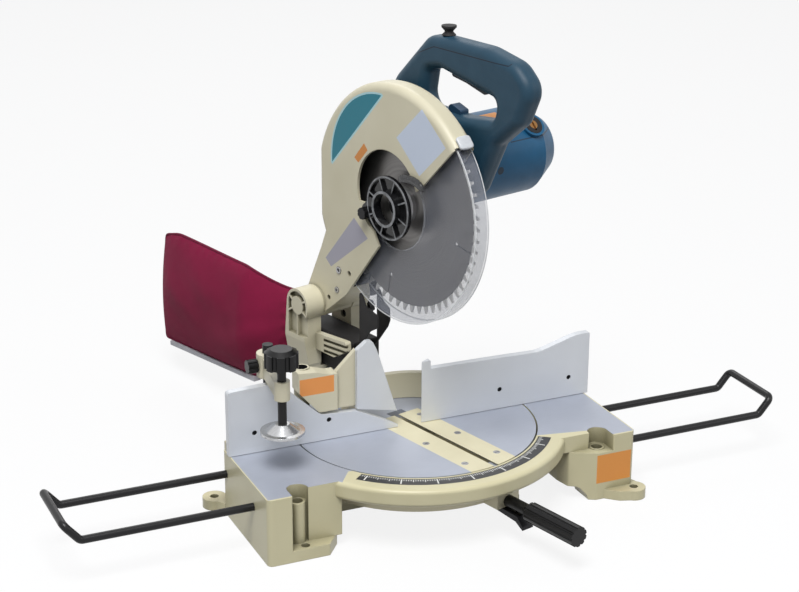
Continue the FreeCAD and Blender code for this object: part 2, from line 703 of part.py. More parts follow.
def guide_fence():
    """Left and right fence faces joined by an arc round the back of the kerf."""
    low = TABLE_H + FENCE_FLOOR_GAP
    left = [(-FENCE_LEFT_END, low), (-FENCE_LEFT_END, TABLE_H + FENCE_H_LEFT, 4),
            (-FENCE_CURL_X, TABLE_H + FENCE_H_LEFT + 2, 20), (-FENCE_DIP_X, TABLE_H + FENCE_LOW_H, 14),
            (-FENCE_STEP_X, TABLE_H + FENCE_LOW_H - 3, 4), (-FENCE_LEFT_TIP, low + 3), (-FENCE_LEFT_TIP, low)]
    right = [(FENCE_RIGHT_TIP, low), (FENCE_RIGHT_END, low), (FENCE_RIGHT_END, TABLE_H + FENCE_H_RIGHT, 3),
             (22, TABLE_H + FENCE_H_RIGHT - 6, 2), (20, TABLE_H + FENCE_H_RIGHT - 4, 2),
             (FENCE_RIGHT_TIP, TABLE_H + FENCE_H_RIGHT - 4, 2)]
    faces = [fence_plate(left, 0, FENCE_T), fence_plate(right, 0, FENCE_T)]
    tip_cut = plate([(-FENCE_LEFT_TIP + 1, -0.1), (-FENCE_LEFT_TIP - 14, FENCE_T + 0.1),
                     (FENCE_RIGHT_TIP + 14, FENCE_T + 0.1), (FENCE_RIGHT_TIP - 1, -0.1)],
                    "xy", TABLE_H, TABLE_H + 100)
    arc = tube((0, 0, low), "z", ARC_OUT_R, ARC_IN_R, ARC_H - FENCE_FLOOR_GAP)
    arc = arc.common(box((-ARC_OUT_R, ARC_OUT_R), (FENCE_T / 2, ARC_OUT_R + 1), (low, TABLE_H + ARC_H)))
    arc = arc.cut(rod((*SUB_PIN, TABLE_H + SUB_LOW - SUB_DIP - 1), "z", SUB_REACH, ARC_H))
    feet = []
    for side in (-1, 1):
        xs = sorted((side * (TT_R + WELL_GAP + 4), side * (WING_X - 2)))
        feet.append(box(xs, (FENCE_T / 2, FENCE_FOOT_BACK), (TABLE_H, TABLE_H + FENCE_FOOT_T)))
    rod_boss = rod((VISE_ROD[0], VISE_ROD[1], TABLE_H), "z", VISE_ROD_R + 5, 44)
    web = box((VISE_ROD[0] - 4, VISE_ROD[0] + 4), (FENCE_T / 2, VISE_ROD[1]), (TABLE_H, TABLE_H + 44))
    hinge_boss = rod((SUB_PIN[0], SUB_PIN[1], TABLE_H + FENCE_FOOT_T - 2), "z", SUB_BARREL_R, SUB_LOW - FENCE_FOOT_T + 2 - SEAT)
    hinge_web = box((SUB_PIN[0] - 9, SUB_PIN[0] + 9), (FENCE_T / 2, SUB_PIN[1]), (low, TABLE_H + FENCE_LOW_H - 4))
    body = joined([faces[0], faces[1], arc, rod_boss, web, hinge_boss, hinge_web] + feet)
    body = body.cut(tip_cut)
    cuts = [rod((VISE_ROD[0], VISE_ROD[1], TABLE_H - 1), "z", VISE_ROD_R + SHAFT_PLAY, 60)]
    cuts.append(rod((SUB_PIN[0], SUB_PIN[1], TABLE_H - 1), "z", SUB_PIN_R, 60))
    cuts.append(rod((VISE_ROD[0], VISE_ROD[1], TABLE_H + 30), "y", WIRE_SCREW_R, 30))
    for x in FENCE_BOLT_X:
        cuts.append(rod((x, -1, TABLE_H + FENCE_BOLT_Z), "y", FENCE_BOLT_R, 6))
    return less(body, cuts)


def sub_fence():
    """Cast flap with the tall machined face beside the blade."""
    low = TABLE_H + SUB_LOW
    apex = TABLE_H + SUB_APEX_H
    face = [(-FENCE_STEP_X, low - 4), (-24, low + 2 - SUB_DIP, 2), (-22, low - SUB_DIP), (-48, apex - 12, 6), (-54, apex, 4),
            (-61, apex, 4), (-FENCE_STEP_X, apex - 9, 3)]
    slab = plate(face, "xz", 0, SUB_T)
    body = [(-145, low + 28), (-145, low + 52), (-122, low + 50, 8), (-106, low + 45), (-98, low + 45),
            (-FENCE_STEP_X, apex - 9), (-FENCE_STEP_X, low), (-120, low)]
    web = plate(body, "xz", SUB_T / 2, SUB_T + 3)
    box_part = plate([(-145, low + 28), (-145, low + 52), (-122, low + 50), (-106, low + 45), (-97, low + 45), (-97, low),
                      (-120, low)], "xz", 0,
                     SUB_BODY_T)
    barrel = rod((*SUB_PIN, low), "z", SUB_BARREL_R, 52)
    bore = rod((SUB_PIN[0], SUB_PIN[1], low - 1), "z", SUB_PIN_R + SHAFT_PLAY, 70)
    recess = rod((SUB_PIN[0], SUB_PIN[1], low + 46), "z", SUB_BARREL_R - 2, 20)
    return less(joined([slab, web, box_part, barrel]), [bore, recess])


def sub_fence_pin():
    return rod((SUB_PIN[0], SUB_PIN[1], TABLE_H + 2), "z", SUB_PIN_R, SUB_LOW + 38)


def fence_bolts():
    """Set screws in the four small holes of the fence faces."""
    screws = []
    for x in FENCE_BOLT_X:
        body = rod((x, 1.2, TABLE_H + FENCE_BOLT_Z), "y", FENCE_BOLT_R - SHAFT_PLAY, 3.8)
        socket = rod((x, 0, TABLE_H + FENCE_BOLT_Z), "y", 1.4, 3)
        screws.append(body.cut(socket))
    return Part.makeCompound(screws)


# Wire work holders

def wire_holder(side, ys):
    """Bent wire that carries long work, its two legs kicked up to a raised end bar."""
    back, front = ys
    z = WIRE_Z
    far = side * (WIRE_OUT_X + WIRE_KICK)
    path = [(side * WIRE_IN_X, back, z), (side * WIRE_OUT_X, back, z), (far, back, z + WIRE_RISE),
            (far, front, z + WIRE_RISE), (side * WIRE_OUT_X, front, z), (side * WIRE_IN_X, front, z)]
    return bent_rod(path, WIRE_R, WIRE_BEND_R)


# Vise

def vise_centre():
    """Where the vise screw comes down, from the rod, the reach and the swing."""
    a = math.radians(-90.0 - VISE_SWING)
    return VISE_ROD[0] + VISE_REACH * math.cos(a), VISE_ROD[1] + VISE_REACH * math.sin(a)


def vise_rod():
    low = TABLE_H - VISE_ROD_SINK
    return rod((*VISE_ROD, low), "z", VISE_ROD_R, VISE_ROD_TOP - low)


def rod_screw():
    """Thumb screw behind the fence that holds the vise rod."""
    x, y = VISE_ROD
    z = TABLE_H + 30
    shank = rod((x, y + VISE_ROD_R + 0.1, z), "y", WIRE_SCREW_R, 12)
    head = fluted((x, y + VISE_ROD_R + 8, z), "y", 8.0, 8.0, 8, 1.2)
    return joined([shank, head])


def vise_arm():
    """Arm from the rod out over the table, with a threaded boss at its tip."""
    cx, cy = vise_centre()
    low = VISE_ARM_LOW
    hub = rod((VISE_ROD[0], VISE_ROD[1], low), "z", VISE_HUB_R, VISE_HUB_H)
    tip = rod((cx, cy, low), "z", VISE_TIP_R, VISE_ARM_H)
    bar = plate([(-VISE_REACH, low + 3), (-VISE_REACH, low + VISE_ARM_H - 4), (-VISE_HUB_R - 6, low + VISE_HUB_H - 3, 8),
                 (0, low + VISE_HUB_H - 2), (0, low + 2)], "yz", -VISE_TIP_R + 1, VISE_TIP_R - 1)
    bar.rotate(vec(0, 0), vec(0, 0, 1), -VISE_SWING)
    bar.translate(vec(VISE_ROD[0], VISE_ROD[1]))
    body = joined([hub, tip, bar])
    bores = [rod((VISE_ROD[0], VISE_ROD[1], low - 1), "z", VISE_ROD_R + SHAFT_PLAY, 60)]
    bores.append(rod((cx, cy, low - 1), "z", VISE_SCREW_R + SHAFT_PLAY, 60))
    bores.append(rod((VISE_ROD[0] - 30, VISE_ROD[1], low + VISE_HUB_H / 2), "x", WIRE_SCREW_R + SHAFT_PLAY, 30))
    return less(body, bores)


def vise_arm_knob():
    """Thumb screw that clamps the arm on its rod."""
    x = VISE_ROD[0]
    z = VISE_ARM_LOW + VISE_HUB_H / 2
    outside = x - VISE_HUB_R - SEAT
    head = fluted((outside - 12, VISE_ROD[1], z), "x", 8, 12, 8, 1.2)
    stem = rod((outside - 1, VISE_ROD[1], z), "x", WIRE_SCREW_R, x - VISE_ROD_R - 0.2 - outside + 1)
    return joined([head, stem])


def vise_screw():
    cx, cy = vise_centre()
    shank = rod((cx, cy, VISE_DISC_Z + VISE_DISC_T - 4), "z", VISE_SCREW_R, VISE_KNOB_LOW - VISE_DISC_Z - 2)
    knob = fluted((cx, cy, VISE_KNOB_LOW), "z", VISE_KNOB_R, VISE_KNOB_H - 4, 8, 3.0)
    dome = cone((cx, cy, VISE_KNOB_LOW + VISE_KNOB_H - 4), "z", VISE_KNOB_R - 1, VISE_KNOB_R - 7, 4)
    return joined([shank, knob, dome])


def vise_disc():
    """Foot that presses on the work, loose on the screw's end."""
    cx, cy = vise_centre()
    z = VISE_DISC_Z
    disc = rod((cx, cy, z), "z", VISE_DISC_R, 3)
    neck = cone((cx, cy, z + 3), "z", VISE_DISC_R - 6, VISE_SCREW_R + 3, VISE_DISC_T)
    hole = rod((cx, cy, z + VISE_DISC_T - 4 - SEAT), "z", VISE_SCREW_R + SHAFT_PLAY, 20)
    return less(joined([disc, neck]), [hole])


# Bevel arm

def bevel_arm():
    """Cast arm that leans about the table line and carries the head hinge."""
    y0 = REAR_FACE + RUN_GAP
    flange = rod((0, y0, TABLE_H), "y", BEVEL_FLANGE_R, BEVEL_FLANGE_T)
    r = HINGE_HUB_R
    side = [(y0, COLUMN_LOW), (y0, DUCT_LOW + 2), (HINGE_Y - r, HINGE_Z - 56), (HINGE_Y - r, HINGE_Z),
            (HINGE_Y + r, HINGE_Z), (COLUMN_BACK, HINGE_Z - 40), (COLUMN_BACK, COLUMN_LOW)]
    front = [(-30, COLUMN_LOW), (-EAR_OUT, HINGE_Z - 44), (-EAR_OUT, HINGE_Z), (EAR_OUT, HINGE_Z),
             (EAR_OUT, HINGE_Z - 44), (30, COLUMN_LOW)]
    column = plate(side, "yz", -EAR_OUT, EAR_OUT).common(plate(front, "xz", y0 - 1, COLUMN_BACK + 1))
    barrel = rod((-EAR_OUT, HINGE_Y, HINGE_Z), "x", r, 2 * EAR_OUT)
    points = [(CHEEK_FRONT, CHEEK_LOW + 14, 3), (CHEEK_FRONT, CHEEK_NOSE_H, 3), (HINGE_Y - 14, CHEEK_HIGH),
              (HINGE_Y - 8, CHEEK_HIGH), (HINGE_Y - 8, CHEEK_LOW), (CHEEK_FRONT + 24, CHEEK_LOW)]
    cheek = plate(points, "yz", -CHEEK_OUT, -EAR_IN)
    body = joined([flange, column, barrel, cheek])
    cuts = [rod((-EAR_IN, HINGE_Y, HINGE_Z), "x", r + 12, 2 * EAR_IN)]
    cuts.append(box((-EAR_IN, EAR_IN), (CHEEK_FRONT - 5, COLUMN_BACK + 5), (DUCT_LOW - SEAT, HINGE_Z + 40)))
    cuts.append(rod((6 - EAR_OUT, HINGE_Y, HINGE_Z), "x", HINGE_PIN_R + SHAFT_PLAY, 2 * EAR_OUT))
    cuts.append(rod((0, y0 - 5, TABLE_H), "y", BEVEL_PIN_R + SHAFT_PLAY, 60))
    cuts.append(rod((EAR_IN - 2, *STOP_PIN_AT), "x", STOP_PIN_R + SHAFT_PLAY, 30))
    cuts += fin_slots() + [ear_recess()]
    return less(body, cuts)


def fin_slots():
    """Slanted grooves between the fins on the cheek."""
    slope = (CHEEK_HIGH - CHEEK_NOSE_H) / (HINGE_Y - 14 - CHEEK_FRONT)
    y0, y1 = CHEEK_FRONT - 1, HINGE_Y - 30
    rise = slope * (y1 - y0)
    slots = []
    for i in range(3):
        z = CHEEK_NOSE_H - 4 - FIN_SLOT - 7 * i
        groove = [(y0, z), (y0, z + FIN_SLOT), (y1, z + rise + FIN_SLOT), (y1, z + rise)]
        slots.append(plate(groove, "yz", -CHEEK_OUT - 1, FIN_DEEP - CHEEK_OUT))
    return slots


def ear_recess():
    """Arch-shaped recess in the left ear's face, with a ring and ribs left standing."""
    low, deep = -EAR_OUT - 1, 6
    r = HINGE_HUB_R - 3.5
    foot = HINGE_Z - 38
    arch = joined([rod((low, HINGE_Y, HINGE_Z), "x", r, deep),
                   box((low, low + deep), (HINGE_Y - r, HINGE_Y + r), (foot, HINGE_Z))])
    keep = [rod((low, HINGE_Y, HINGE_Z), "x", HINGE_PIN_R + 4.5, deep)]
    keep.append(box((low, low + deep), (HINGE_Y - 1.2, HINGE_Y + 1.2), (foot, HINGE_Z)))
    for a in (60, 120, 240, 300):
        rib = box((low, low + deep), (-1.2, 1.2), (4, HINGE_HUB_R + 4))
        rib.rotate(vec(0, 0), vec(1, 0, 0), a)
        rib.translate(vec(0, HINGE_Y, HINGE_Z))
        keep.append(rib)
    return less(arch, keep)


def bevel_pin():
    """Pin on the table line about which the arm leans, with a stud for the clamp lever."""
    body = rod((0, REAR_FACE - 30, TABLE_H), "y", BEVEL_PIN_R, COLUMN_BACK - REAR_FACE + 30)
    return joined([body, rod((0, COLUMN_BACK - 1, TABLE_H), "y", BEVEL_STUD_R, 14)])


def bevel_lever():
    y = COLUMN_BACK + RUN_GAP
    hub = rod((0, y, TABLE_H), "y", 15, 16)
    bar = box((-4, 4), (y + 4, y + 12), (TABLE_H - 62, TABLE_H))
    knob = rod((0, y + 8, TABLE_H - 66), "z", 8, 22)
    return less(joined([hub, bar, knob]), [rod((0, y - 1, TABLE_H), "y", BEVEL_STUD_R + SHAFT_PLAY, 15)])


def hinge_pin():
    return rod((8 - EAR_OUT, HINGE_Y, HINGE_Z), "x", HINGE_PIN_R, 2 * EAR_OUT - 8)


def torsion_spring():
    """Coil round the hinge pin at the right end that lifts the head, drawn as its rings."""
    at = (HINGE_Y, HINGE_Z)
    rings = []
    for i in range(5):
        x = EAR_OUT + 0.4 + 3.2 * i
        rings.append(cone((x, *at), "x", 10.6, 12.4, 1.6))
        rings.append(cone((x + 1.6, *at), "x", 12.4, 10.6, 1.6))
    post = rod((EAR_OUT, *at), "x", HINGE_PIN_R - 1, 18)
    cap = rod((EAR_OUT + 16.4, *at), "x", 13, 3)
    return joined(rings + [post, cap])


def stopper_pin():
    """Pin that holds the head down for carrying, pushed in from the right."""
    y, z = STOP_PIN_AT
    outside = EAR_OUT + 12
    shank = rod((outside - STOP_PIN_LEN, y, z), "x", STOP_PIN_R, STOP_PIN_LEN)
    knob = fluted((outside - 1, y, z), "x", 8, 8, 8, 1.2)
    return joined([shank, knob])


def dust_chute():
    """Duct behind the blade, with a hood beside the case, that leads under the hinge to the bag's neck."""
    w = DUCT_WALL
    half = DUCT_HALF_W
    outer = plate([(-half, DUCT_LOW, 4), (-half, DUCT_HIGH, 4), (half, DUCT_HIGH, 4), (half, DUCT_LOW, 4)], "xz",
                  DUCT_FRONT, DUCT_BACK - 14)
    inner = plate([(w - half, DUCT_LOW + w, 2), (w - half, DUCT_HIGH - w, 2), (half - w, DUCT_HIGH - w, 2),
                   (half - w, DUCT_LOW + w, 2)], "xz", DUCT_FRONT - 1, DUCT_BACK - 16)
    z = (DUCT_LOW + DUCT_HIGH) / 2
    neck = rod((0, DUCT_BACK - 14, z), "y", NECK_R, 14)
    bore = rod((0, DUCT_BACK - 17, z), "y", NECK_R - w, 20)
    return joined([less(joined([outer, neck]), [inner, bore])] + hood_side(-1) + hood_side(1))


def hood_side(side):
    """One wall of the hood between the guard and the case on the left, outside the case on the right."""
    near = GUARD_LEFT + HOOD_GAP if side < 0 else CASE_RIGHT + HOOD_GAP
    xs = sorted((side * near, side * (near + HOOD_T)))
    lip, back = HOOD_LIP_LEFT if side < 0 else HOOD_LIP_RIGHT, DUCT_FRONT - 8
    profile = [(DUCT_FRONT + 7, DUCT_LOW + 6), (DUCT_FRONT + 7, DUCT_HIGH - 4), (DUCT_FRONT, DUCT_HIGH - 4),
               (back, DUCT_HIGH + 4), (back, HOOD_TOP, 2), (back - 6, HOOD_TOP - 4, 3), (back - 12, HOOD_TOP - 16, 6),
               (lip, 205, 2), (lip - 1, 190, 4), (64, 181, 4), (DUCT_FRONT - 4, 150, 4), (DUCT_FRONT, DUCT_LOW + 6)]
    web = sorted((side * near, side * (DUCT_HALF_W - DUCT_WALL / 2)))
    return [plate(profile, "yz", *xs), box(web, (DUCT_FRONT, DUCT_FRONT + 7), (DUCT_LOW + 6, DUCT_HIGH - 6))]


def dust_bag():
    """Closed body of the bag, with its mouth on the duct."""
    y0 = DUCT_BACK + SEAT
    w, thin, x = BAG_HALF_W, BAG_EDGE_W, BAG_X
    side = [(y0, DUCT_LOW), (y0, DUCT_HIGH + 14, 6), (y0 + 26, BAG_HIGH - 10, 20), (y0 + 90, BAG_HIGH),
            (BAG_BACK, BAG_HIGH - 3, BAG_CORNER_R), (BAG_BACK + 12, BAG_LOW - 12, BAG_CORNER_R),
            (y0 + 60, BAG_LOW, 30)]
    body = plate(side, "yz", x - w - 1, DUCT_HALF_W + 3)
    middle = (BAG_LOW + BAG_HIGH) / 2
    lens = [(x - thin, BAG_LOW - 16), (x - w, middle - 40, 30), (x - w, middle + 30, 40), (x - thin, BAG_HIGH + 2),
            (x + thin, BAG_HIGH + 2), (DUCT_HALF_W + 2, middle + 30, 40), (DUCT_HALF_W + 2, middle - 40, 30),
            (x + thin, BAG_LOW - 16)]
    plan = [(-NECK_R - 3, y0), (x - w, y0 + 70, 30), (x - w, BAG_BACK - 60, 40), (x - thin, BAG_BACK + 13),
            (x + thin, BAG_BACK + 13), (x + w - 8, BAG_BACK - 60, 40), (x + w, y0 + 90, 30), (NECK_R + 3, y0)]
    body = body.common(plate(lens, "xz", y0 - 1, BAG_BACK + 14))
    return body.common(plate(plan, "xy", 0, BAG_HIGH + 9))


def bag_floor(y):
    """Height of the bag's straight bottom edge."""
    start, end = DUCT_BACK + SEAT + 60, BAG_BACK + 12
    return BAG_LOW - 12 * (y - start) / (end - start)


def bag_clip():
    """Long clip that closes the bottom of the bag."""
    y0 = DUCT_BACK + SEAT + 66
    y1 = BAG_BACK - 4
    top = [bag_floor(y) - SEAT for y in (y0, y1)]
    strip = [(y0, top[0]), (y1, top[1]), (y1, top[1] - BAG_CLIP_H), (y0, top[0] - BAG_CLIP_H)]
    return plate(strip, "yz", BAG_X - BAG_CLIP_T, BAG_X + BAG_CLIP_T)


# Head

def case_front():
    """Corner of the case's front edge on a circle outside its rim."""
    return polar((BLADE_Y, BLADE_Z), CASE_R + 20, CASE_CUT_ANGLE)


def blade_case():
    """Upper blade case, open below and windowed round the arbor, running back to the hinge."""
    c = (BLADE_Y, BLADE_Z)
    drum = rod((-CASE_LEFT, *c), "x", CASE_R, CASE_LEFT + CASE_RIGHT)
    drum = drum.common(box((-CASE_LEFT, CASE_RIGHT), (-CASE_R, CASE_BACK), (0, 2 * BLADE_Z)))
    rims = [e for e in drum.Edges if e.BoundBox.XLength < 0.01]
    drum = drum.makeFillet(CASE_EDGE_R, rims)
    tail_points = [(137, 362), (135, 305, 20), (151, 267, 20), (181, 205), (HINGE_Y, HINGE_Z - 16), (150, 180),
                   (104, 217, 6), (43, 293), (20, 346)]
    tail = plate(tail_points, "yz", -CASE_LEFT, CASE_RIGHT)
    root_points = [(146, 272), (151, 267), (181, 205), (HINGE_Y, HINGE_Z - 16), (150, 180), (116, 210, 6), (120, 245)]
    root = plate(root_points, "yz", CASE_RIGHT - 1, CASE_LEFT)
    knuckle = rod((-HEAD_KNUCKLE_HALF, HINGE_Y, HINGE_Z), "x", HINGE_HUB_R - 1, 2 * HEAD_KNUCKLE_HALF)
    body = joined([drum, tail, root, knuckle])
    wall = CASE_LEFT - CASE_WALL
    right = CASE_RIGHT - CASE_WALL_RIGHT
    room = rod((-wall, *c), "x", GUARD_R + 1.6, wall + right)
    cuts = [room.common(box((-wall, right), (-CASE_R, CASE_BACK - CASE_WALL), (0, 2 * BLADE_Z)))]
    cuts.append(rod((-CASE_LEFT - 1, WINDOW_Y, WINDOW_Z), "x", WINDOW_R, CASE_WALL + 2))
    below = [case_front(), (-200, 420), (-200, 100), (104, 100), (104, 217), (43, 293)]
    cuts.append(plate([(-32, 381)] + below + [(60, 322), (10, 352)], "yz", -CASE_LEFT - 1, 1 - wall))
    cuts.append(plate([(20, 346)] + below, "yz", -wall - 1, right + 1))
    cuts.append(plate([(-45, 384)] + below + [(16, 300), (-34, 318)], "yz", right - 0.5, CASE_RIGHT + 1))
    cuts.append(rod((-30, HINGE_Y, HINGE_Z), "x", HINGE_PIN_R + SHAFT_PLAY, 60))
    cuts.append(rod((0, *c), "x", 30, 30))
    for y, z, r in CASE_HOLES:
        cuts.append(rod((-CASE_LEFT - 1, y, z), "x", r, 9))
    y, z = COVER_PIN_AT
    tab = box((-CASE_LEFT, -wall), (y - 9, y + 26), (z - 8, z + 9))
    hole = rod((-CASE_LEFT - 1, y, z), "x", COVER_PIN_R, CASE_WALL + 2)
    return joined([less(body, cuts), tab]).cut(hole)


def case_screws():
    """Screws in the case's tail, by the hinge."""
    screws = []
    for y, z, r in CASE_HOLES[:3]:
        head = rod((-CASE_LEFT - 1, y, z), "x", r - SEAT, 7)
        screws.append(head.cut(rod((-CASE_LEFT - 2, y, z), "x", r - 2.2, 4)))
    return Part.makeCompound(screws)


def gear_housing():
    """Gear case between the blade case and the motor, with the arbor bearing boss."""
    x = CASE_RIGHT
    behind = BLADE_T / 2 + FLANGE_T + SEAT
    nose = GUARD_RIGHT - GUARD_T - GUARD_RING_T
    big = rod((x, MOTOR_Y, MOTOR_Z), "x", GEAR_R, GEAR_END - x)
    low = rod((x, BLADE_Y, BLADE_Z), "x", 38, 34)
    boss = rod((nose, BLADE_Y, BLADE_Z), "x", GUARD_HUB_R, x + 2 - nose)
    body = joined([big, low, boss])
    pocket_room = rod((nose - 1, BLADE_Y, BLADE_Z), "x", FLANGE_R + 1.5, behind + 1 - nose)
    return less(body, [pocket_room, rod((0, BLADE_Y, BLADE_Z), "x", ARBOR_R + SHAFT_PLAY, 36)])


def motor_housing():
    """Moulded motor body with a tapered end, air slots and two brush bosses."""
    x = GEAR_END + SEAT
    body = rod((x, MOTOR_Y, MOTOR_Z), "x", MOTOR_R, MOTOR_END - MOTOR_TAPER - x)
    end = cone((MOTOR_END - MOTOR_TAPER, MOTOR_Y, MOTOR_Z), "x", MOTOR_R, MOTOR_END_R, MOTOR_TAPER)
    collar = rod((x, MOTOR_Y, MOTOR_Z), "x", MOTOR_R + 3, 8)
    bosses = []
    holes = []
    for a in (BRUSH_ANGLE, BRUSH_ANGLE + 180):
        bosses.append(around_motor(Part.makeCylinder(BRUSH_R + 3, 12, vec(BRUSH_X, MOTOR_R - 9), AXES["y"]), a))
        holes.append(around_motor(Part.makeCylinder(BRUSH_R + SHAFT_PLAY, 12, vec(BRUSH_X, MOTOR_R - 3), AXES["y"]),
                                  a))
    body = joined([body, end, collar] + bosses)
    slots = []
    for i in range(8):
        width = 14 + 6 * math.sin(math.pi * (i + 0.5) / 8)
        slot = box((MOTOR_END - 6, MOTOR_END + 1), (-width, width), (-1.6, 1.6))
        slot.translate(vec(0, MOTOR_Y, MOTOR_Z - 24.5 + 7 * i))
        slots.append(slot)
    return less(body, holes + slots)


def around_motor(shape, degrees):
    """A shape drawn on the +Y side of the motor axis, turned round that axis."""
    shape.rotate(vec(0, 0), vec(1, 0, 0), degrees)
    shape.translate(vec(0, MOTOR_Y, MOTOR_Z))
    return shape


def brush_caps():
    caps = []
    for a in (BRUSH_ANGLE, BRUSH_ANGLE + 180):
        cap = Part.makeCylinder(BRUSH_R, 6, vec(BRUSH_X, MOTOR_R - 3 + SEAT), AXES["y"])
        slot = box((BRUSH_X - 1.5, BRUSH_X + 1.5), (MOTOR_R, MOTOR_R + 5), (-8, 8))
        caps.append(around_motor(cap.cut(slot), a))
    return Part.makeCompound(caps)


def handle_points():
    """Outside of the D handle with its front leg and its rear root."""
    return [(90, 446, 8), (66, 485, 40), (11, 539, 26), (-12, 542, 40), (-86, 542, 60), (-133, 533, 34),
            (-160, 509, 24), (-141, 467, 18), (-105, 437, 14), (-76, 378, 16), (-44, 352, 6), (70, 352, 6)]


def handle_half(side):
    """One half of the D handle, split on its middle plane and rounded on its outer face."""
    middle = (HANDLE_LEFT + HANDLE_RIGHT) / 2
    low, high = (HANDLE_LEFT, middle) if side < 0 else (middle, HANDLE_RIGHT)
    body = plate(handle_points(), "yz", low, high)
    hole = plate([(17, 460, 14), (9, 501, 9), (-11, 505, 9), (-104, 488, 9), (-100, 465, 12), (-51, 459, 12)], "yz",
                 low - 1, high + 1)
    body = body.cut(hole)
    face = low if side < 0 else high
    outer = [e for e in body.Edges if abs(e.BoundBox.XMin - face) < 0.01 and e.BoundBox.XLength < 0.01]
    body = body.makeFillet(HANDLE_EDGE_R, outer)
    cuts = [rod((HANDLE_LEFT - 1, MOTOR_Y, MOTOR_Z), "x", GEAR_R + SEAT, 60)]
    cuts.append(rod((HANDLE_LEFT - 1, BLADE_Y, BLADE_Z), "x", 60, 60))
    x = middle
    cuts.append(box((x - TRIGGER_HALF_W - 0.4, x + TRIGGER_HALF_W + 0.4), (-89, -25), (487, 513)))
    cuts.append(rod((x, GLAND_Y, GLAND_LOW - 1), "z", 5.2, 20))
    cuts.append(box((x - 6.4, x + 6.4), (-41.4, -20.6), (449, 467)))
    pin = TRIGGER_HALF_W + TRIGGER_PIN_LEN
    cuts.append(rod((x - pin - SEAT, *TRIGGER_PIN_AT), "x", TRIGGER_PIN_R + SHAFT_PLAY, 2 * (pin + SEAT)))
    return less(body, cuts)


def trigger():
    """Switch lever in the top bar of the handle."""
    x = (HANDLE_LEFT + HANDLE_RIGHT) / 2
    points = [(-27, 511), (-27, 500, 3), (-51, 496.5, 16), (-81, 489, 4), (-86, 491), (-86, 503)]
    lever = plate(points, "yz", x - TRIGGER_HALF_W, x + TRIGGER_HALF_W)
    pin = TRIGGER_HALF_W + TRIGGER_PIN_LEN
    return joined([lever, rod((x - pin, *TRIGGER_PIN_AT), "x", TRIGGER_PIN_R, 2 * pin)])


def lock_off_button():
    """Block in the lower bar of the handle that frees the trigger when pushed down."""
    x = (HANDLE_LEFT + HANDLE_RIGHT) / 2
    return plate([(-41, 453), (-41, 463, 2), (-25, 468, 3), (-21, 465), (-21, 453)], "yz", x - 6, x + 6)


def cord_gland():
    """Flared rubber sleeve on top of the handle."""
    x = (HANDLE_LEFT + HANDLE_RIGHT) / 2
    stem = rod((x, GLAND_Y, GLAND_LOW), "z", 5, GLAND_TOP - GLAND_LOW - 2)
    foot = cone((x, GLAND_Y, GLAND_LOW + 6.6), "z", 8, 5, 3)
    flare = cone((x, GLAND_Y, GLAND_TOP - 6), "z", 5, 8.5, 4)
    rim = rod((x, GLAND_Y, GLAND_TOP - 2), "z", 8.5, 2)
    return joined([stem, foot, flare, rim])


# Blade


def blade():
    """Saw disc with gullets cut between raked teeth and four expansion slots."""
    body = rod((-BLADE_T / 2, 0, 0), "x", BLADE_R, BLADE_T)
    step = 360.0 / TOOTH_N
    cuts = [rod((-5, 0, 0), "x", BLADE_BORE_R, 10)]
    face = BLADE_R - TOOTH_DEEP
    gullet = plate([(BLADE_R + 1, 0.4), (face, 1.2), (face, 6.0, 2), (BLADE_R - 2.4, 10.6), (BLADE_R + 1, 10.6)],
                   "yz", -5, 5)
    for i in range(TOOTH_N):
        cut = gullet.copy()
        cut.rotate(vec(0, 0), vec(1, 0, 0), i * step)
        cuts.append(cut)
    for i in range(EXPANSION_SLOTS):
        slot = box((-5, 5), (BLADE_R - 34, BLADE_R - 4), (3.4, 4.6))
        eye = rod((-5, BLADE_R - 34, 4.0), "x", 2.2, 10)
        for s in (slot, eye):
            s.rotate(vec(0, 0), vec(1, 0, 0), i * 360.0 / EXPANSION_SLOTS + 12)
            cuts.append(s)
    body = less(body, cuts)
    body.translate(vec(0, BLADE_Y, BLADE_Z))
    return body


def flange(side):
    x = BLADE_T / 2 if side > 0 else -BLADE_T / 2 - FLANGE_T
    disc = tube((x, BLADE_Y, BLADE_Z), "x", FLANGE_R, ARBOR_R, FLANGE_T)
    return disc


def arbor():
    """Shaft from the gear housing out through the flanges."""
    x = -BLADE_T / 2 - FLANGE_T
    return rod((x, BLADE_Y, BLADE_Z), "x", ARBOR_R, 34 - x)


def arbor_bolt():
    x = -BLADE_T / 2 - FLANGE_T
    washer = rod((x - 2.5, BLADE_Y, BLADE_Z), "x", 13, 2.5)
    head = rod((x - 2.5 - BOLT_HEAD_T, BLADE_Y, BLADE_Z), "x", BOLT_HEAD_R, BOLT_HEAD_T)
    socket = rod((x - 2.5 - BOLT_HEAD_T - 1, BLADE_Y, BLADE_Z), "x", 5, 6)
    return joined([washer, head]).cut(socket)


# Guards

def lower_guard():
    """Clear guard: a rim band and two side walls on a ring round the arbor boss."""
    c = (BLADE_Y, BLADE_Z)
    low, high = -GUARD_LEFT, GUARD_RIGHT
    band = sector(c, GUARD_R, GUARD_R - GUARD_T, GUARD_START, GUARD_END, low, high)
    left = sector(c, GUARD_R, GUARD_RING_R + 10, GUARD_START, GUARD_END, low, low + GUARD_T)
    right = sector(c, GUARD_R, GUARD_RING_R, GUARD_START, GUARD_END, high - GUARD_T, high)
    ring = tube((high - GUARD_T - GUARD_RING_T, *c), "x", GUARD_RING_R + 2, GUARD_HUB_R + 0.1, GUARD_T + GUARD_RING_T)
    return joined([band, left, right, ring])


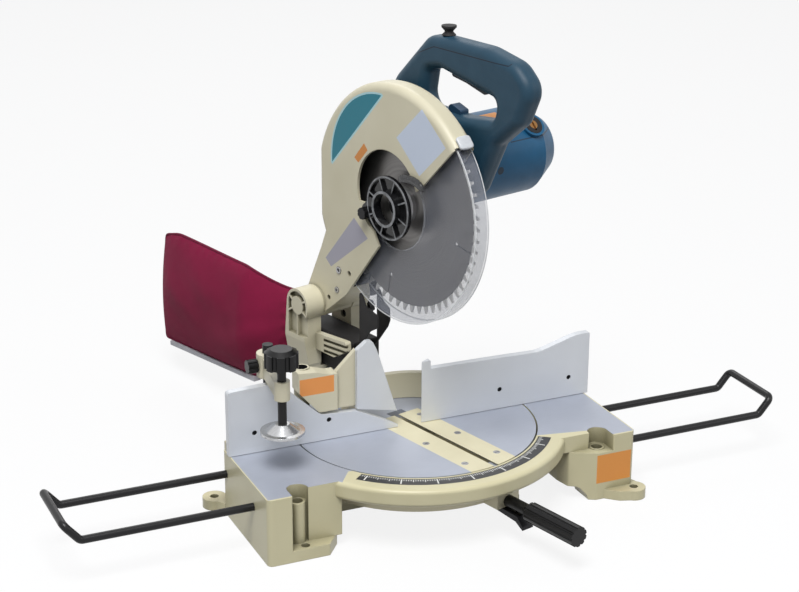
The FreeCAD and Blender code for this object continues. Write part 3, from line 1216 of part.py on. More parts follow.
def centre_cover():
    """Spoked cover over the arbor bolt, swung on a screw at the edge of the window."""
    c = (BLADE_Y, BLADE_Z)
    x = COVER_X
    outer = tube((x - COVER_T, *c), "x", COVER_R, COVER_R - 3, COVER_T)
    inner = tube((x - COVER_T - 6, *c), "x", COVER_RING_R, COVER_RING_R - 3, COVER_T + 6)
    floor = tube((x - 1.6, *c), "x", COVER_R, COVER_RING_R - 3, 1.6)
    spokes = []
    for i in range(8):
        spoke = box((x - COVER_T, x), (-1.2, 1.2), (COVER_RING_R - 1, COVER_R - 1))
        spoke.rotate(vec(0, 0), vec(1, 0, 0), 45.0 * i + 20)
        spoke.translate(vec(0, *c))
        spokes.append(spoke)
    lug = plate([(52, 352), (66, 338, 6), (66, 324, 6), (50, 326), (40, 334), (44, 352)], "yz", x - COVER_T, x)
    return less(joined([outer, inner, floor, lug] + spokes), [rod((x - 20, *COVER_PIN_AT), "x", COVER_PIN_R, 40)])


def cover_screw():
    """Screw on which the centre cover swings, fixed in the case wall."""
    shank = rod((COVER_X - COVER_T, *COVER_PIN_AT), "x", COVER_PIN_R - SHAFT_PLAY, COVER_T + CASE_WALL)
    head = fluted((COVER_X - COVER_T - 6, *COVER_PIN_AT), "x", 7.0, 6 - SEAT, 8, 1.0)
    return joined([shank, head])


def export(name, shape):
    if not shape.isValid():
        print("not valid:", name)
    shape.exportStep(f"parts/{name}.step")


def main():
    os.makedirs("parts", exist_ok=True)
    base = {
        "base_casting": base_casting(),
        "guide_fence": guide_fence(),
        "sub_fence": sub_fence(),
        "sub_fence_pin": sub_fence_pin(),
        "left_wire": wire_holder(-1, WIRE_Y_LEFT),
        "right_wire": wire_holder(1, WIRE_Y_RIGHT),
        "vise_rod": vise_rod(),
        "vise_arm": vise_arm(),
        "vise_arm_knob": vise_arm_knob(),
        "vise_screw": vise_screw(),
        "vise_disc": vise_disc(),
        "mitre_scale": mitre_scale(),
        "wire_screws": wire_screws(),
        "fence_bolts": fence_bolts(),
        "rod_screw": rod_screw(),
    }
    head = {
        "turntable": turntable(),
        "kerf_board_left": kerf_board(-1),
        "kerf_board_right": kerf_board(1),
        "pivot_bolt": pivot_bolt(),
        "board_screws": board_screws(),
        "torsion_spring": torsion_spring(),
        "bag_clip": bag_clip(),
        "case_screws": case_screws(),
        "cover_screw": cover_screw(),
        "lock_off_button": lock_off_button(),
        "grip": grip(),
        "lock_lever": lock_lever(),
        "bevel_arm": bevel_arm(),
        "bevel_pin": bevel_pin(),
        "bevel_lever": bevel_lever(),
        "hinge_pin": hinge_pin(),
        "stopper_pin": stopper_pin(),
        "dust_chute": dust_chute(),
        "dust_bag": dust_bag(),
        "blade_case": blade_case(),
        "gear_housing": gear_housing(),
        "motor_housing": motor_housing(),
        "brush_caps": brush_caps(),
        "handle_left": handle_half(-1),
        "handle_right": handle_half(1),
        "trigger": trigger(),
        "cord_gland": cord_gland(),
        "blade": blade(),
        "inner_flange": flange(1),
        "outer_flange": flange(-1),
        "arbor": arbor(),
        "arbor_bolt": arbor_bolt(),
        "lower_guard": lower_guard(),
        "centre_cover": centre_cover(),
    }
    for name, shape in base.items():
        export(name, shape)
    for name, shape in head.items():
        export(name, turned(shape))


main()
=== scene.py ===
# %% [markdown]
# A bench mitre saw, dressed for its picture
# The solids come ready made from the CAD frame, each in its place. This lesson gives them their
# surfaces, adds the pieces that cloth and cast detail need, and sets the light and the camera.

# %% load the frame
import math

import bmesh
import bpy
import numpy as np
from mathutils import Matrix, Vector


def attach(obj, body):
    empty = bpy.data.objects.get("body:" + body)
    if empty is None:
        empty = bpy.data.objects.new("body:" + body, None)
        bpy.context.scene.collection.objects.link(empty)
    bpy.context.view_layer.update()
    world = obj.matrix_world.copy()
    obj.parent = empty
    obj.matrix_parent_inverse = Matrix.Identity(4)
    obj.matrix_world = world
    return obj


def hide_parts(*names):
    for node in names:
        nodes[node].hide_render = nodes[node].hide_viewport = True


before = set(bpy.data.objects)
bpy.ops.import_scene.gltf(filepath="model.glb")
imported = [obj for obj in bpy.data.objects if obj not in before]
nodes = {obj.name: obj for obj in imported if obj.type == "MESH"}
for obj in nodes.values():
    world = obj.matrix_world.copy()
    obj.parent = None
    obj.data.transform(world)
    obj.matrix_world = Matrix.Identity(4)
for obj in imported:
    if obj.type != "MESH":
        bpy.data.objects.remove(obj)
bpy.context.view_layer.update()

# %% [markdown]
# Everything that turns with the table was drawn with the saw cut along Y and then turned by the
# rest mitre angle. Working in those cut coordinates keeps the numbers of a piece simple, so one
# helper takes points from there to the frame.

# %% the two sets of axes
MM = 0.001
MITRE = math.radians(15.0)
COS_M, SIN_M = math.cos(MITRE), math.sin(MITRE)
TO_MM = 1000.0
DEGREES = 180.0 / math.pi
TABLE_TOP = 80.0
BLADE_AT = (20.0, 346.0)
MOTOR_AT = (11.0, 386.0)


def from_cut(points):
    """Points in cut coordinates, in millimetres, to the frame in metres.
    x = x'cos(m) - y'sin(m), y = x'sin(m) + y'cos(m), with m the rest mitre angle."""
    p = np.asarray(points, float)
    x = p[..., 0] * COS_M - p[..., 1] * SIN_M
    y = p[..., 0] * SIN_M + p[..., 1] * COS_M
    return np.stack([x, y, p[..., 2]], -1) * MM


print("blade centre in the frame:", from_cut([0, *BLADE_AT]).round(4))

# %% [markdown]
# The camera stands where the photograph was taken: in front and to the left, a little above.
# Its direction is two angles and a small roll, and its distance is found from the point on the
# table's centre, which has to land on one known spot of the picture.

# %% camera
PICTURE = (799.0, 592.0)
FOCAL_PX = 1875.8
AIM_PX = (414.35, 424.10)
AIM_DEPTH = 2.2077
CAMERA_ANGLES = (-24.314, 20.344, 0.26)
SENSOR_MM = 36.0
FAR_AWAY = 20.0


def camera_axes(azimuth, elevation, roll):
    """Right, up and back directions from azimuth, elevation and roll in degrees.
    back = (sin a cos e, -cos a cos e, sin e), right = (cos a, sin a, 0), up = back x right."""
    a, e, r = (math.radians(v) for v in (azimuth, elevation, roll))
    back = Vector((math.sin(a) * math.cos(e), -math.cos(a) * math.cos(e), math.sin(e)))
    right = Vector((math.cos(a), math.sin(a), 0))
    up = back.cross(right)
    return math.cos(r) * right + math.sin(r) * up, -math.sin(r) * right + math.cos(r) * up, back


def add_camera():
    right, up, back = camera_axes(*CAMERA_ANGLES)
    aside = (AIM_PX[0] - PICTURE[0] / 2) * AIM_DEPTH / FOCAL_PX
    above = (PICTURE[1] / 2 - AIM_PX[1]) * AIM_DEPTH / FOCAL_PX
    place = Vector((0, 0, TABLE_TOP * MM)) + AIM_DEPTH * back - aside * right - above * up
    data = bpy.data.cameras.new("camera")
    data.sensor_width = SENSOR_MM
    data.lens = FOCAL_PX * SENSOR_MM / PICTURE[0]
    data.clip_end = FAR_AWAY
    camera = bpy.data.objects.new("camera", data)
    bpy.context.scene.collection.objects.link(camera)
    turn = Matrix((right, up, back)).transposed()
    camera.matrix_world = Matrix.Translation(place) @ turn.to_4x4()
    bpy.context.scene.camera = camera
    return camera


camera = add_camera()
print("lens:", round(camera.data.lens, 1), "mm at", [round(v, 3) for v in camera.location])

# %% [markdown]
# Shader maths reads best as plain arithmetic. A small class wraps a socket, and each operator on
# it adds the Math node for that operation. A second class holds one material and has one method
# that makes any other node.

# %% a socket that can be added and multiplied
class Wire:
    """One output socket. a + b, a * b and so on add a Math node and give its output."""

    def __init__(self, finish, socket):
        self.finish = finish
        self.socket = socket

    def math(self, operation, *values):
        return self.finish.node("ShaderNodeMath", {"operation": operation}, dict(enumerate(values)))

    def __add__(self, other):
        return self.math("ADD", self, other)

    def __radd__(self, other):
        return self.math("ADD", other, self)

    def __pow__(self, other):
        return self.math("POWER", self, other)

    def __sub__(self, other):
        return self.math("SUBTRACT", self, other)

    def __rsub__(self, other):
        return self.math("SUBTRACT", other, self)

    def __mul__(self, other):
        return self.math("MULTIPLY", self, other)

    def __rmul__(self, other):
        return self.math("MULTIPLY", other, self)

    def __truediv__(self, other):
        return self.math("DIVIDE", self, other)

    def __gt__(self, other):
        return self.math("GREATER_THAN", self, other)

    def __lt__(self, other):
        return self.math("LESS_THAN", self, other)

    def __abs__(self):
        return self.math("ABSOLUTE", self)

    def root(self):
        return self.math("SQRT", self)

    def sine(self):
        return self.math("SINE", self)

    def least(self, other):
        return self.math("MINIMUM", self, other)

    def most(self, other):
        return self.math("MAXIMUM", self, other)

    def cut(self):
        """The value held between 0 and 1."""
        return self.most(0.0).least(1.0)

    def part(self, name):
        """Another output of the node that made this one."""
        return Wire(self.finish, self.socket.node.outputs[name])


# %% one material and its nodes
def linear(r, g, b):
    """A colour as seen on screen, 0 to 255, to the linear values that a shader wants."""
    out = []
    for v in (r, g, b):
        v /= 255.0
        out.append(v / 12.92 if v <= 0.04045 else ((v + 0.055) / 1.055) ** 2.4)
    return (*out, 1.0)


class Finish:
    """One material with a Principled shader, and helpers that all its patterns use."""

    def __init__(self, name, roughness=0.5, metallic=0.0, **constants):
        self.material = bpy.data.materials.new(name)
        self.material.use_nodes = True
        self.tree = self.material.node_tree
        self.shader = next(n for n in self.tree.nodes if n.type == "BSDF_PRINCIPLED")
        self.shader.inputs["Roughness"].default_value = roughness
        self.shader.inputs["Metallic"].default_value = metallic
        for key, value in constants.items():
            self.shader.inputs[key.replace("_", " ")].default_value = value
        self.spot = self.node("ShaderNodeTexCoord").part("Object")
        self.x = self.node("ShaderNodeSeparateXYZ", {}, {0: self.spot})
        self.y = self.x.part("Y")
        self.z = self.x.part("Z")

    def node(self, kind, settings=None, values=None):
        """Makes a node, sets its settings first, then gives each input a value or a link."""
        made = self.tree.nodes.new(kind)
        for key, value in (settings or {}).items():
            setattr(made, key, value)
        for key, value in (values or {}).items():
            if isinstance(value, Wire):
                self.tree.links.new(value.socket, made.inputs[key])
            else:
                made.inputs[key].default_value = value
        return Wire(self, made.outputs[0])

    def noise(self, size_mm, detail=3.0, at=None):
        """Cloudy pattern with features about size_mm across, from 0 to 1."""
        values = {"Vector": at or self.spot, "Scale": 1.0 / (size_mm * MM), "Detail": detail}
        return self.node("ShaderNodeTexNoise", {}, values)

    def mixed(self, first, second, share):
        """Colour between two, by a share from 0 to 1."""
        made = self.node("ShaderNodeMix", {"data_type": "RGBA"}, {0: share, 6: first, 7: second})
        return Wire(self, made.socket.node.outputs[2])

    def stretched(self, along, across):
        """Object coordinates scaled along and across the cut, for brushed or drawn grain."""
        values = {0: self.spot, 2: (0, 0, 0), 3: (across, along, across)}
        return self.node("ShaderNodeMapping", {"vector_type": "POINT"}, values)

    def cut_axes(self):
        """Cut coordinates x', y' and height z, in millimetres."""
        along = (self.x * COS_M + self.y * SIN_M) * TO_MM
        back = (self.y * COS_M - self.x * SIN_M) * TO_MM
        return along, back, self.z * TO_MM

    def set(self, **wires):
        for key, value in wires.items():
            name = key.replace("_", " ")
            if isinstance(value, Wire):
                self.tree.links.new(value.socket, self.shader.inputs[name])
            else:
                self.shader.inputs[name].default_value = value

    def relief(self, height, depth_mm, softened_mm=0.0):
        """Bump from a height pattern, over edges softened by a small radius."""
        values = {"Height": height, "Distance": depth_mm * MM, "Strength": 1.0}
        if softened_mm:
            radius = {"Radius": softened_mm * MM}
            values["Normal"] = self.node("ShaderNodeBevel", {"samples": 4}, radius)
        self.set(Normal=self.node("ShaderNodeBump", {}, values))

    def dress(self, *names):
        for name in names:
            piece = nodes[name] if name in nodes else bpy.data.objects[name]
            piece.data.materials.clear()
            piece.data.materials.append(self.material)


def inside(value, low, high):
    """1 where a value lies between two others."""
    return (value > low) * (value < high)


def area(u, v, corners):
    """1 inside a convex outline whose corners run clockwise.
    For each side from a to b, (b - a) x (p - a) has to be below zero."""
    mask = 1.0
    for (au, av), (bu, bv) in zip(corners, corners[1:] + corners[:1]):
        mask = ((v - av) * (bu - au) - (u - au) * (bv - av) < 0.0) * mask
    return mask


def line(u, v, start, end, half_width):
    """1 near the straight run from start to end.
    The offset along the run is a dot product with its direction, and across it a cross product."""
    length = math.dist(start, end)
    du, dv = (end[0] - start[0]) / length, (end[1] - start[1]) / length
    along = (u - start[0]) * du + (v - start[1]) * dv
    across = abs((u - start[0]) * dv - (v - start[1]) * du)
    return inside(along, 0.0, length) * (across < half_width)


def line_through(u, v, corners, half_width):
    """1 near any side of an open outline."""
    sides = [line(u, v, start, end, half_width) for start, end in zip(corners, corners[1:])]
    mask = sides[0]
    for side in sides[1:]:
        mask = mask.most(side)
    return mask


def distance(u, v, centre):
    """Distance of a point from a centre, sqrt(du^2 + dv^2)."""
    du, dv = u - centre[0], v - centre[1]
    return (du * du + dv * dv).root()


print("shader helpers ready")

# %% [markdown]
# The castings carry a slightly glossy cream paint over a fine cast grain. The paint is a little
# uneven in tone, and a brown-green painted shade darkens the corners and hollows. The table tops
# are milled bare metal, so one casting shows two finishes: paint on its sides and metal where it is
# cut flat.

# %% cream paint on the castings
CREAM = linear(224, 218, 194)
CREAM_SHADE = linear(208, 201, 174)
BASE_CREAM = linear(226, 219, 184)
BASE_SHADE = linear(208, 200, 162)
# Brown-green colour of the painted shade in corners and hollows.
CORNER_SHADE = linear(92, 88, 66)
SILVER = linear(182, 187, 199)
SILVER_DULL = linear(160, 165, 178)
FENCE_SILVER = linear(226, 229, 233)
FENCE_DULL = linear(206, 209, 215)
NEAR_BLACK = linear(22, 22, 24)
CLOUD_MM = 70.0
CAST_GRAIN_MM = 1.1
CORNER_SHADE_REACH = 0.045


def paint(name, light=CREAM, shade=CREAM_SHADE):
    """Cream paint: two close tones by a broad cloud, fine grain in the relief.
    Painted shade darkens it where little of the sky is open above the surface: its share is 1 -
    openness."""
    f = Finish(name, roughness=0.38, Specular_IOR_Level=0.4)
    cloud = f.noise(CLOUD_MM, 2.0)
    grain = f.noise(CAST_GRAIN_MM, 2.0)
    near = {"samples": 8, "only_local": True}
    # Painted shade: ambient occlusion over the piece's own shape darkens its corners and hollows
    # towards brown-green, a little unevenly by the cloud.
    open_sky = f.node("ShaderNodeAmbientOcclusion", near, {"Distance": CORNER_SHADE_REACH})
    corner_shade = ((1.0 - open_sky.part("AO")) * 1.5 + (cloud - 0.5) * 0.15 - 0.12).cut()
    f.tone = f.mixed(f.mixed(light, shade, cloud), CORNER_SHADE, corner_shade * 0.85)
    f.set(Base_Color=f.tone, Roughness=0.30 + cloud * 0.18)
    f.relief(grain, 0.05, 1.2)
    return f


cream = paint("cream_paint")
cream.dress("bevel_arm", "vise_arm")


# %% [markdown]
# On the base, the flat top of both wings is milled. The front rim round the table stays in paint,
# up to a slanted line on the left wing and a nearly straight one on the right. The milling lines
# run along the fence.

# %% base casting
WING_IN, WING_OUT = 60.0, 227.6
WING_FRONT = -118.6
MILLED_ABOVE = 79.6
LEFT_RIM_AT, LEFT_RIM_SLOPE = (-121.0, -87.0), 0.724
RIGHT_RIM_AT, RIGHT_RIM_SLOPE, RIGHT_RIM_END = (120.9, -86.7), 0.1975, 185.0
BASE_PATCH = linear(240, 160, 80)


def silver_tone(f, along, across, light=SILVER, dull=SILVER_DULL):
    """Milled metal: fine straight lines over soft cloudy stains."""
    lines = f.noise(1.0, 2.0, f.stretched(along, across))
    stain = f.noise(55.0, 3.0)
    return f.mixed(light, dull, (lines * 0.35 + stain * 0.75 - 0.15).cut()), lines


base = paint("base_casting_paint", BASE_CREAM, BASE_SHADE)
bx, by, bz = base.x * TO_MM, base.y * TO_MM, base.z * TO_MM
flat_top = inside(abs(bx), WING_IN, WING_OUT) * (by > WING_FRONT) * (bz > MILLED_ABOVE)
left_line = (by - LEFT_RIM_AT[1]) * LEFT_RIM_SLOPE + LEFT_RIM_AT[0]
rim_left = (bx < 0.0) * (by < LEFT_RIM_AT[1]) * (bx > left_line)
right_line = RIGHT_RIM_AT[1] - (bx - RIGHT_RIM_AT[0]) * RIGHT_RIM_SLOPE
rim_right = inside(bx, 0.0, RIGHT_RIM_END) * (by < right_line)
milled = flat_top * (1.0 - rim_left) * (1.0 - rim_right)
metal, _ = silver_tone(base, 1.0, 0.08)
patch = inside(bx, 178.0, 224.5) * inside(bz, 21.0, 57.0) * (by < -120.6)
tone = base.mixed(base.mixed(base.tone, metal, milled), BASE_PATCH, patch)
base.set(Base_Color=tone, Metallic=milled * 0.25, Roughness=0.34 + milled * 0.08)
base.dress("base_casting")
print("base casting: paint and milled top")

# %% table, fence and sub fence
SKIRT_BELOW = 69.0
FENCE_BACK_Y = 9.5
ORANGE = linear(240, 158, 88)
FLAP_SCREW_AT = (-134.0, 19.0)

table = Finish("milled_table", roughness=0.42, metallic=0.25)
metal, lines = silver_tone(table, 1.0, 0.08)
below = table.z * TO_MM < SKIRT_BELOW
table.set(Base_Color=table.mixed(metal, CREAM_SHADE, below))
table.relief(lines, 0.02, 0.5)
table.dress("turntable")

fence = Finish("milled_fence", roughness=0.40, metallic=0.25)
metal, lines = silver_tone(fence, 0.08, 1.0, FENCE_SILVER, FENCE_DULL)
behind = fence.y * TO_MM > FENCE_BACK_Y
fence.set(Base_Color=fence.mixed(metal, CREAM_SHADE, behind), Metallic=0.25 - behind * 0.25)
fence.relief(lines, 0.02, 0.6)
fence.dress("guide_fence")

flap = paint("sub_fence_paint")
fx, fy, fz = flap.x * TO_MM, flap.y * TO_MM, flap.z * TO_MM
metal, _ = silver_tone(flap, 0.08, 1.0, FENCE_SILVER, FENCE_DULL)
face = (fx > -73.5) * (fy < 7.1)
patch = inside(fx, -143.5, -101.5) * inside(fz, 139.5, 160.0) * (fy < 0.5)
# Painted shade: a black disc stands for the shade inside the recess over the sub fence's screw.
hole_shade = (distance(fx, fy, FLAP_SCREW_AT) < 7.1) * (fz > 110.0)
tone = flap.mixed(flap.mixed(flap.tone, metal, face), ORANGE, patch)
flap.set(Base_Color=flap.mixed(tone, NEAR_BLACK, hole_shade), Metallic=face * 0.25)
flap.dress("sub_fence")
print("table and fences done")

# %% [markdown]
# The kerf boards are ivory plastic, softer and warmer than the paint. The mitre scale is a black
# band with white ticks: a tick shows where the angle round the pivot, divided by the step, is
# close to a whole number.

# %% kerf boards and scale
IVORY = linear(228, 221, 190)
IVORY_SHADE = linear(212, 204, 172)
TICKS_IN = 148.6
TICKS = ((1.0, 0.16, 152.4), (5.0, 0.2, 154.5), (15.0, 0.3, 160.0))

boards = Finish("ivory_board", roughness=0.5, Specular_IOR_Level=0.35)
boards.set(Base_Color=boards.mixed(IVORY, IVORY_SHADE, boards.noise(30.0)))
boards.relief(boards.noise(0.9), 0.03, 0.4)
boards.dress("kerf_board_left", "kerf_board_right")

scale = Finish("mitre_scale_print", roughness=0.35)
angle = scale.node("ShaderNodeMath", {"operation": "ARCTAN2"}, {0: scale.x, 1: 0.0 - scale.y})
degrees = angle * DEGREES
radius = distance(scale.x * TO_MM, scale.y * TO_MM, (0.0, 0.0))


def ticks(step, half_width, outer):
    """White lines every step degrees, out to a radius. Step and half width are in degrees."""
    turns = degrees / step
    off = abs(turns - turns.math("ROUND", turns)) * step
    return (off < half_width) * inside(radius, TICKS_IN, outer)


short, middle, long = (ticks(*row) for row in TICKS)
marks = short.most(middle).most(long)
scale.set(Base_Color=scale.mixed(NEAR_BLACK, linear(226, 226, 222), marks))
scale.dress("mitre_scale")
print("boards and scale done")

# %% [markdown]
# Plain finishes for the small hardware: bright steel, blackened steel, moulded black plastic and
# rubber. Each has its own grain and its own gloss.

# %% small hardware
def darker(colour, share):
    return tuple(c * share for c in colour[:3]) + (1.0,)


def steel(name, colour, rough, grain_mm=0.6):
    f = Finish(name, roughness=rough, metallic=0.9)
    streak = f.noise(grain_mm * 6, 3.0, f.stretched(1.0, 0.2))
    f.set(Base_Color=f.mixed(colour, darker(colour, 0.72), streak),
          Roughness=rough - 0.08 + streak * 0.2)
    f.relief(f.noise(grain_mm), 0.01, 0.4)
    return f


def moulded(name, colour, rough, grain_mm=0.8, depth=0.05):
    f = Finish(name, roughness=rough, Specular_IOR_Level=0.3)
    cloud = f.noise(18.0, 2.0)
    f.tone = f.mixed(colour, darker(colour, 0.7), cloud)
    f.set(Base_Color=f.tone, Roughness=rough - 0.05 + cloud * 0.15)
    f.relief(f.noise(grain_mm), depth, 0.5)
    return f


steel("bright_steel", linear(205, 206, 208), 0.22).dress("vise_disc")
steel("plain_steel", linear(178, 178, 180), 0.35).dress(
    "board_screws", "bevel_pin", "pivot_bolt", "hinge_pin", "case_screws", "arbor", "inner_flange",
    "outer_flange", "sub_fence_pin")
steel("black_steel", linear(46, 46, 48), 0.4).dress(
    "vise_rod", "stopper_pin", "arbor_bolt", "cover_screw", "torsion_spring", "lock_lever",
    "fence_bolts")
moulded("gloss_black", linear(26, 26, 28), 0.28, 2.0, 0.02).dress("left_wire", "right_wire")
moulded("black_plastic", linear(16, 16, 17), 0.33).dress(
    "grip", "vise_screw", "vise_arm_knob", "wire_screws", "rod_screw", "bevel_lever")
moulded("black_rubber", linear(34, 33, 34), 0.62, 1.2, 0.08).dress("dust_chute", "cord_gland")
moulded("pale_strip", linear(206, 206, 212), 0.5).dress("bag_clip")
print("hardware done")

# %% [markdown]
# The blade case is painted like the castings. Its left face carries plain colour patches, and its
# inside is dark. The round patch is the part of a disc that lies beyond a straight line and within
# a second disc, and a pale border follows all three.

# %% blade case
CASE_ROOM_LEFT, CASE_ROOM_RIGHT = -16.6, 6.9
CASE_ROOM_R = 139.2
CASE_FACE_X = -18.0
PATCH_AT = (81.9, 422.3)
PATCH_R = 69.0
PATCH_DISC_AT = (38.2, 381.2)
PATCH_DISC_R = 93.4
PATCH_OUTWARD = (0.728, 0.685)
PATCH_BORDER = 2.2
TEAL = linear(28, 122, 140)
PALE_CYAN = linear(178, 218, 224)
PALE_GREY = linear(206, 216, 233)
LOW_GREY = linear(170, 168, 180)
DULL_ORANGE = linear(214, 140, 70)
UPPER_PATCH = [(-32.5, 471.0), (11.0, 429.8), (-29.2, 394.4), (-73.0, 436.0)]
LOWER_PATCH = [(143.7, 252.9), (133.2, 244.4), (62.5, 297.9), (88.3, 316.9)]
SMALL_PATCH = [(87.2, 389.9), (79.7, 385.1), (62.7, 403.7), (69.2, 410.5)]

case = paint("blade_case_paint")
cx, cy, cz = case.cut_axes()
left_face = cx < CASE_FACE_X


def round_patch(shrink):
    """Part of a disc beyond a line through PATCH_AT and near it, with its edges moved inwards.
    A point's offset beyond the line is a dot product with the direction out of it."""
    disc = distance(cy, cz, PATCH_DISC_AT) < PATCH_DISC_R - shrink
    outward = (cy - PATCH_AT[0]) * PATCH_OUTWARD[0] + (cz - PATCH_AT[1]) * PATCH_OUTWARD[1]
    return disc * (outward > shrink) * (distance(cy, cz, PATCH_AT) < PATCH_R - shrink)


tone = case.tone
for colour, mask in ((PALE_CYAN, round_patch(0.0)), (TEAL, round_patch(PATCH_BORDER)),
                     (PALE_GREY, area(cy, cz, UPPER_PATCH)), (LOW_GREY, area(cy, cz, LOWER_PATCH)),
                     (DULL_ORANGE, area(cy, cz, SMALL_PATCH))):
    tone = case.mixed(tone, colour, mask * left_face)
in_disc = distance(cy, cz, BLADE_AT) < CASE_ROOM_R
case_room = inside(cx, CASE_ROOM_LEFT, CASE_ROOM_RIGHT) * in_disc
case.set(Base_Color=case.mixed(tone, NEAR_BLACK, case_room))
case.dress("blade_case")

gears = moulded("cast_grey", linear(150, 150, 152), 0.5)
gears.set(Base_Color=gears.mixed(linear(140, 141, 144), NEAR_BLACK, gears.cut_axes()[0] < 9.9))
gears.dress("gear_housing")
print("blade case and gear housing done")

# %% [markdown]
# The handle is navy plastic with a faint moulded grain. Its top is a cap with a thin parting line
# round it, drawn as a dark groove. The motor housing is a lighter blue with a parting line along
# its side, a screw recess painted dark as its shade, and a plain orange patch on its top.

# %% handle and motor
NAVY = linear(37, 70, 90)
BLUE = linear(24, 92, 132)
CAP_SEAM = [(40.0, 508.0), (22.0, 518.4), (-4.0, 529.4), (-124.0, 529.4), (-134.0, 541.0)]
MOTOR_SEAM = [(112.0, 411.2), (190.0, 411.2)]
MOTOR_SCREW_AT = (91.7, 382.5)
COS_45 = 0.7071
BRUSH_CAP_X = 152.0

handle = moulded("handle_blue", NAVY, 0.44, 0.7, 0.04)
hx, hy, hz = handle.cut_axes()
seam = line_through(hy, hz, CAP_SEAM, 0.55) * (hx < 25.0)
handle.set(Base_Color=handle.mixed(handle.tone, linear(18, 30, 44), seam))
handle.dress("handle_left", "handle_right")
moulded("trigger_dark", linear(28, 42, 58), 0.4).dress("trigger")
moulded("lock_off_navy", linear(34, 66, 94), 0.4).dress("lock_off_button")

motor = moulded("motor_blue", BLUE, 0.38, 0.7, 0.04)
mx, my, mz = motor.cut_axes()
seam = line_through(mx, mz, MOTOR_SEAM, 0.6) * (my < 0.0)
# Painted shade: the screw recess is a dark blue disc. The seam beside it, in the same colour, is a
# dark joint.
recess_shade = (distance(mx, mz, MOTOR_SCREW_AT) < 4.6) * (my < 0.0)
top_patch = inside(mx, 80.0, 122.0) * inside(my, -16.0, 6.0) * (mz > 430.0)
tone = motor.mixed(motor.tone, linear(16, 40, 58), seam.most(recess_shade))
motor.set(Base_Color=motor.mixed(tone, linear(200, 134, 74), top_patch))
motor.dress("motor_housing")

caps = moulded("brush_cap_black", linear(24, 24, 26), 0.35)
kx, ky, kz = caps.cut_axes()
aside = (ky - MOTOR_AT[0]) * COS_45 + (kz - MOTOR_AT[1]) * COS_45
brass = distance(kx, aside, (BRUSH_CAP_X, 0.0)) < 5.5
caps.set(Base_Color=caps.mixed(caps.tone, linear(150, 108, 62), brass), Metallic=brass * 0.6)
caps.dress("brush_caps")
print("handle, motor and brush caps done")

# %% [markdown]
# The blade is ground steel. Grinding leaves rings round the centre, so its grain is a noise read
# along the radius only. Teeth are brighter carbide.

# %% blade
TEETH_FROM = 119.0
blade = Finish("ground_blade", roughness=0.32, metallic=0.8)
_, qy, qz = blade.cut_axes()
reach = distance(qy, qz, BLADE_AT)
ring_values = {"W": reach, "Scale": 0.35, "Detail": 1.0}
rings = blade.node("ShaderNodeTexNoise", {"noise_dimensions": "1D"}, ring_values)
teeth = reach > TEETH_FROM
tone = blade.mixed(linear(128, 126, 124), linear(112, 110, 109), rings)
blade.set(Base_Color=blade.mixed(tone, linear(196, 195, 193), teeth), Roughness=0.30 + rings * 0.06)
blade.dress("blade")

# %% [markdown]
# The lower guard is clear plastic. Clear plastic shows mostly at its edges, where light gathers,
# so the walls stay nearly open and the rim and the cut edges turn pale.

# %% clear guard and its centre cover
GUARD_RIM_R = 135.4
GUARD_WALL_IN, GUARD_WALL_OUT = 48.0, 51.2
GUARD_COLLAR_R = 42.5
FIRST_SPOKE, SPOKE_STEP, SPOKE_HALF = 110.0, 45.0, 0.9
SPOKE_IN, SPOKE_OUT = 21.0, 36.0

guard = Finish("clear_guard", roughness=0.06, IOR=1.49)
gx, gy, gz = guard.cut_axes()
reach = distance(gy, gz, BLADE_AT)
rim_edge = (reach > GUARD_RIM_R) * (gx < -12.4).most(gx > 4.7)
wall_edge = inside(reach, GUARD_WALL_IN, GUARD_WALL_OUT) * (gx < -11.8)
collar = reach < GUARD_COLLAR_R
haze = guard.noise(24.0, 3.0)
shine = rim_edge.most(wall_edge * 0.35)
tone = guard.mixed(linear(150, 155, 168), linear(238, 240, 242), shine)
solid = 0.13 + haze * 0.08 + (reach > GUARD_RIM_R) * 0.05 + shine * 0.5 + collar * 0.7
guard.set(Base_Color=guard.mixed(tone, linear(40, 40, 42), collar), Alpha=solid.cut())
guard.dress("lower_guard")

cover = Finish("smoked_cover", roughness=0.10, IOR=1.5)
vx, vy, vz = cover.cut_axes()
reach = distance(vy, vz, BLADE_AT)
from_hub = {0: vz - BLADE_AT[1], 1: vy - BLADE_AT[0]}
turn = cover.node("ShaderNodeMath", {"operation": "ARCTAN2"}, from_hub)
eighth = (turn * DEGREES - FIRST_SPOKE) / SPOKE_STEP
off_spoke = abs(eighth - eighth.math("ROUND", eighth)) * reach
spoke = (off_spoke < SPOKE_HALF * DEGREES / SPOKE_STEP) * inside(reach, SPOKE_IN, SPOKE_OUT)
lit = inside(reach, 35.2, 37.0).most(spoke) * (vx < -24.9)
lit = lit.most((reach < 21.2) * (vx < -30.9))
glint = (lit * (cover.noise(9.0, 2.0) * 1.5 - 0.2)).cut()
cover.set(Base_Color=cover.mixed(linear(24, 24, 26), linear(168, 170, 174), glint), Alpha=0.94)
cover.dress("centre_cover")
print("blade, guard and cover done")

# %% [markdown]
# New pieces are surfaces: a grid of points worked out as whole arrays, joined by quads. One helper
# turns the grid into a mesh, with its two directions kept as the UV map, so that a weave or a
# stitch can follow the cloth.

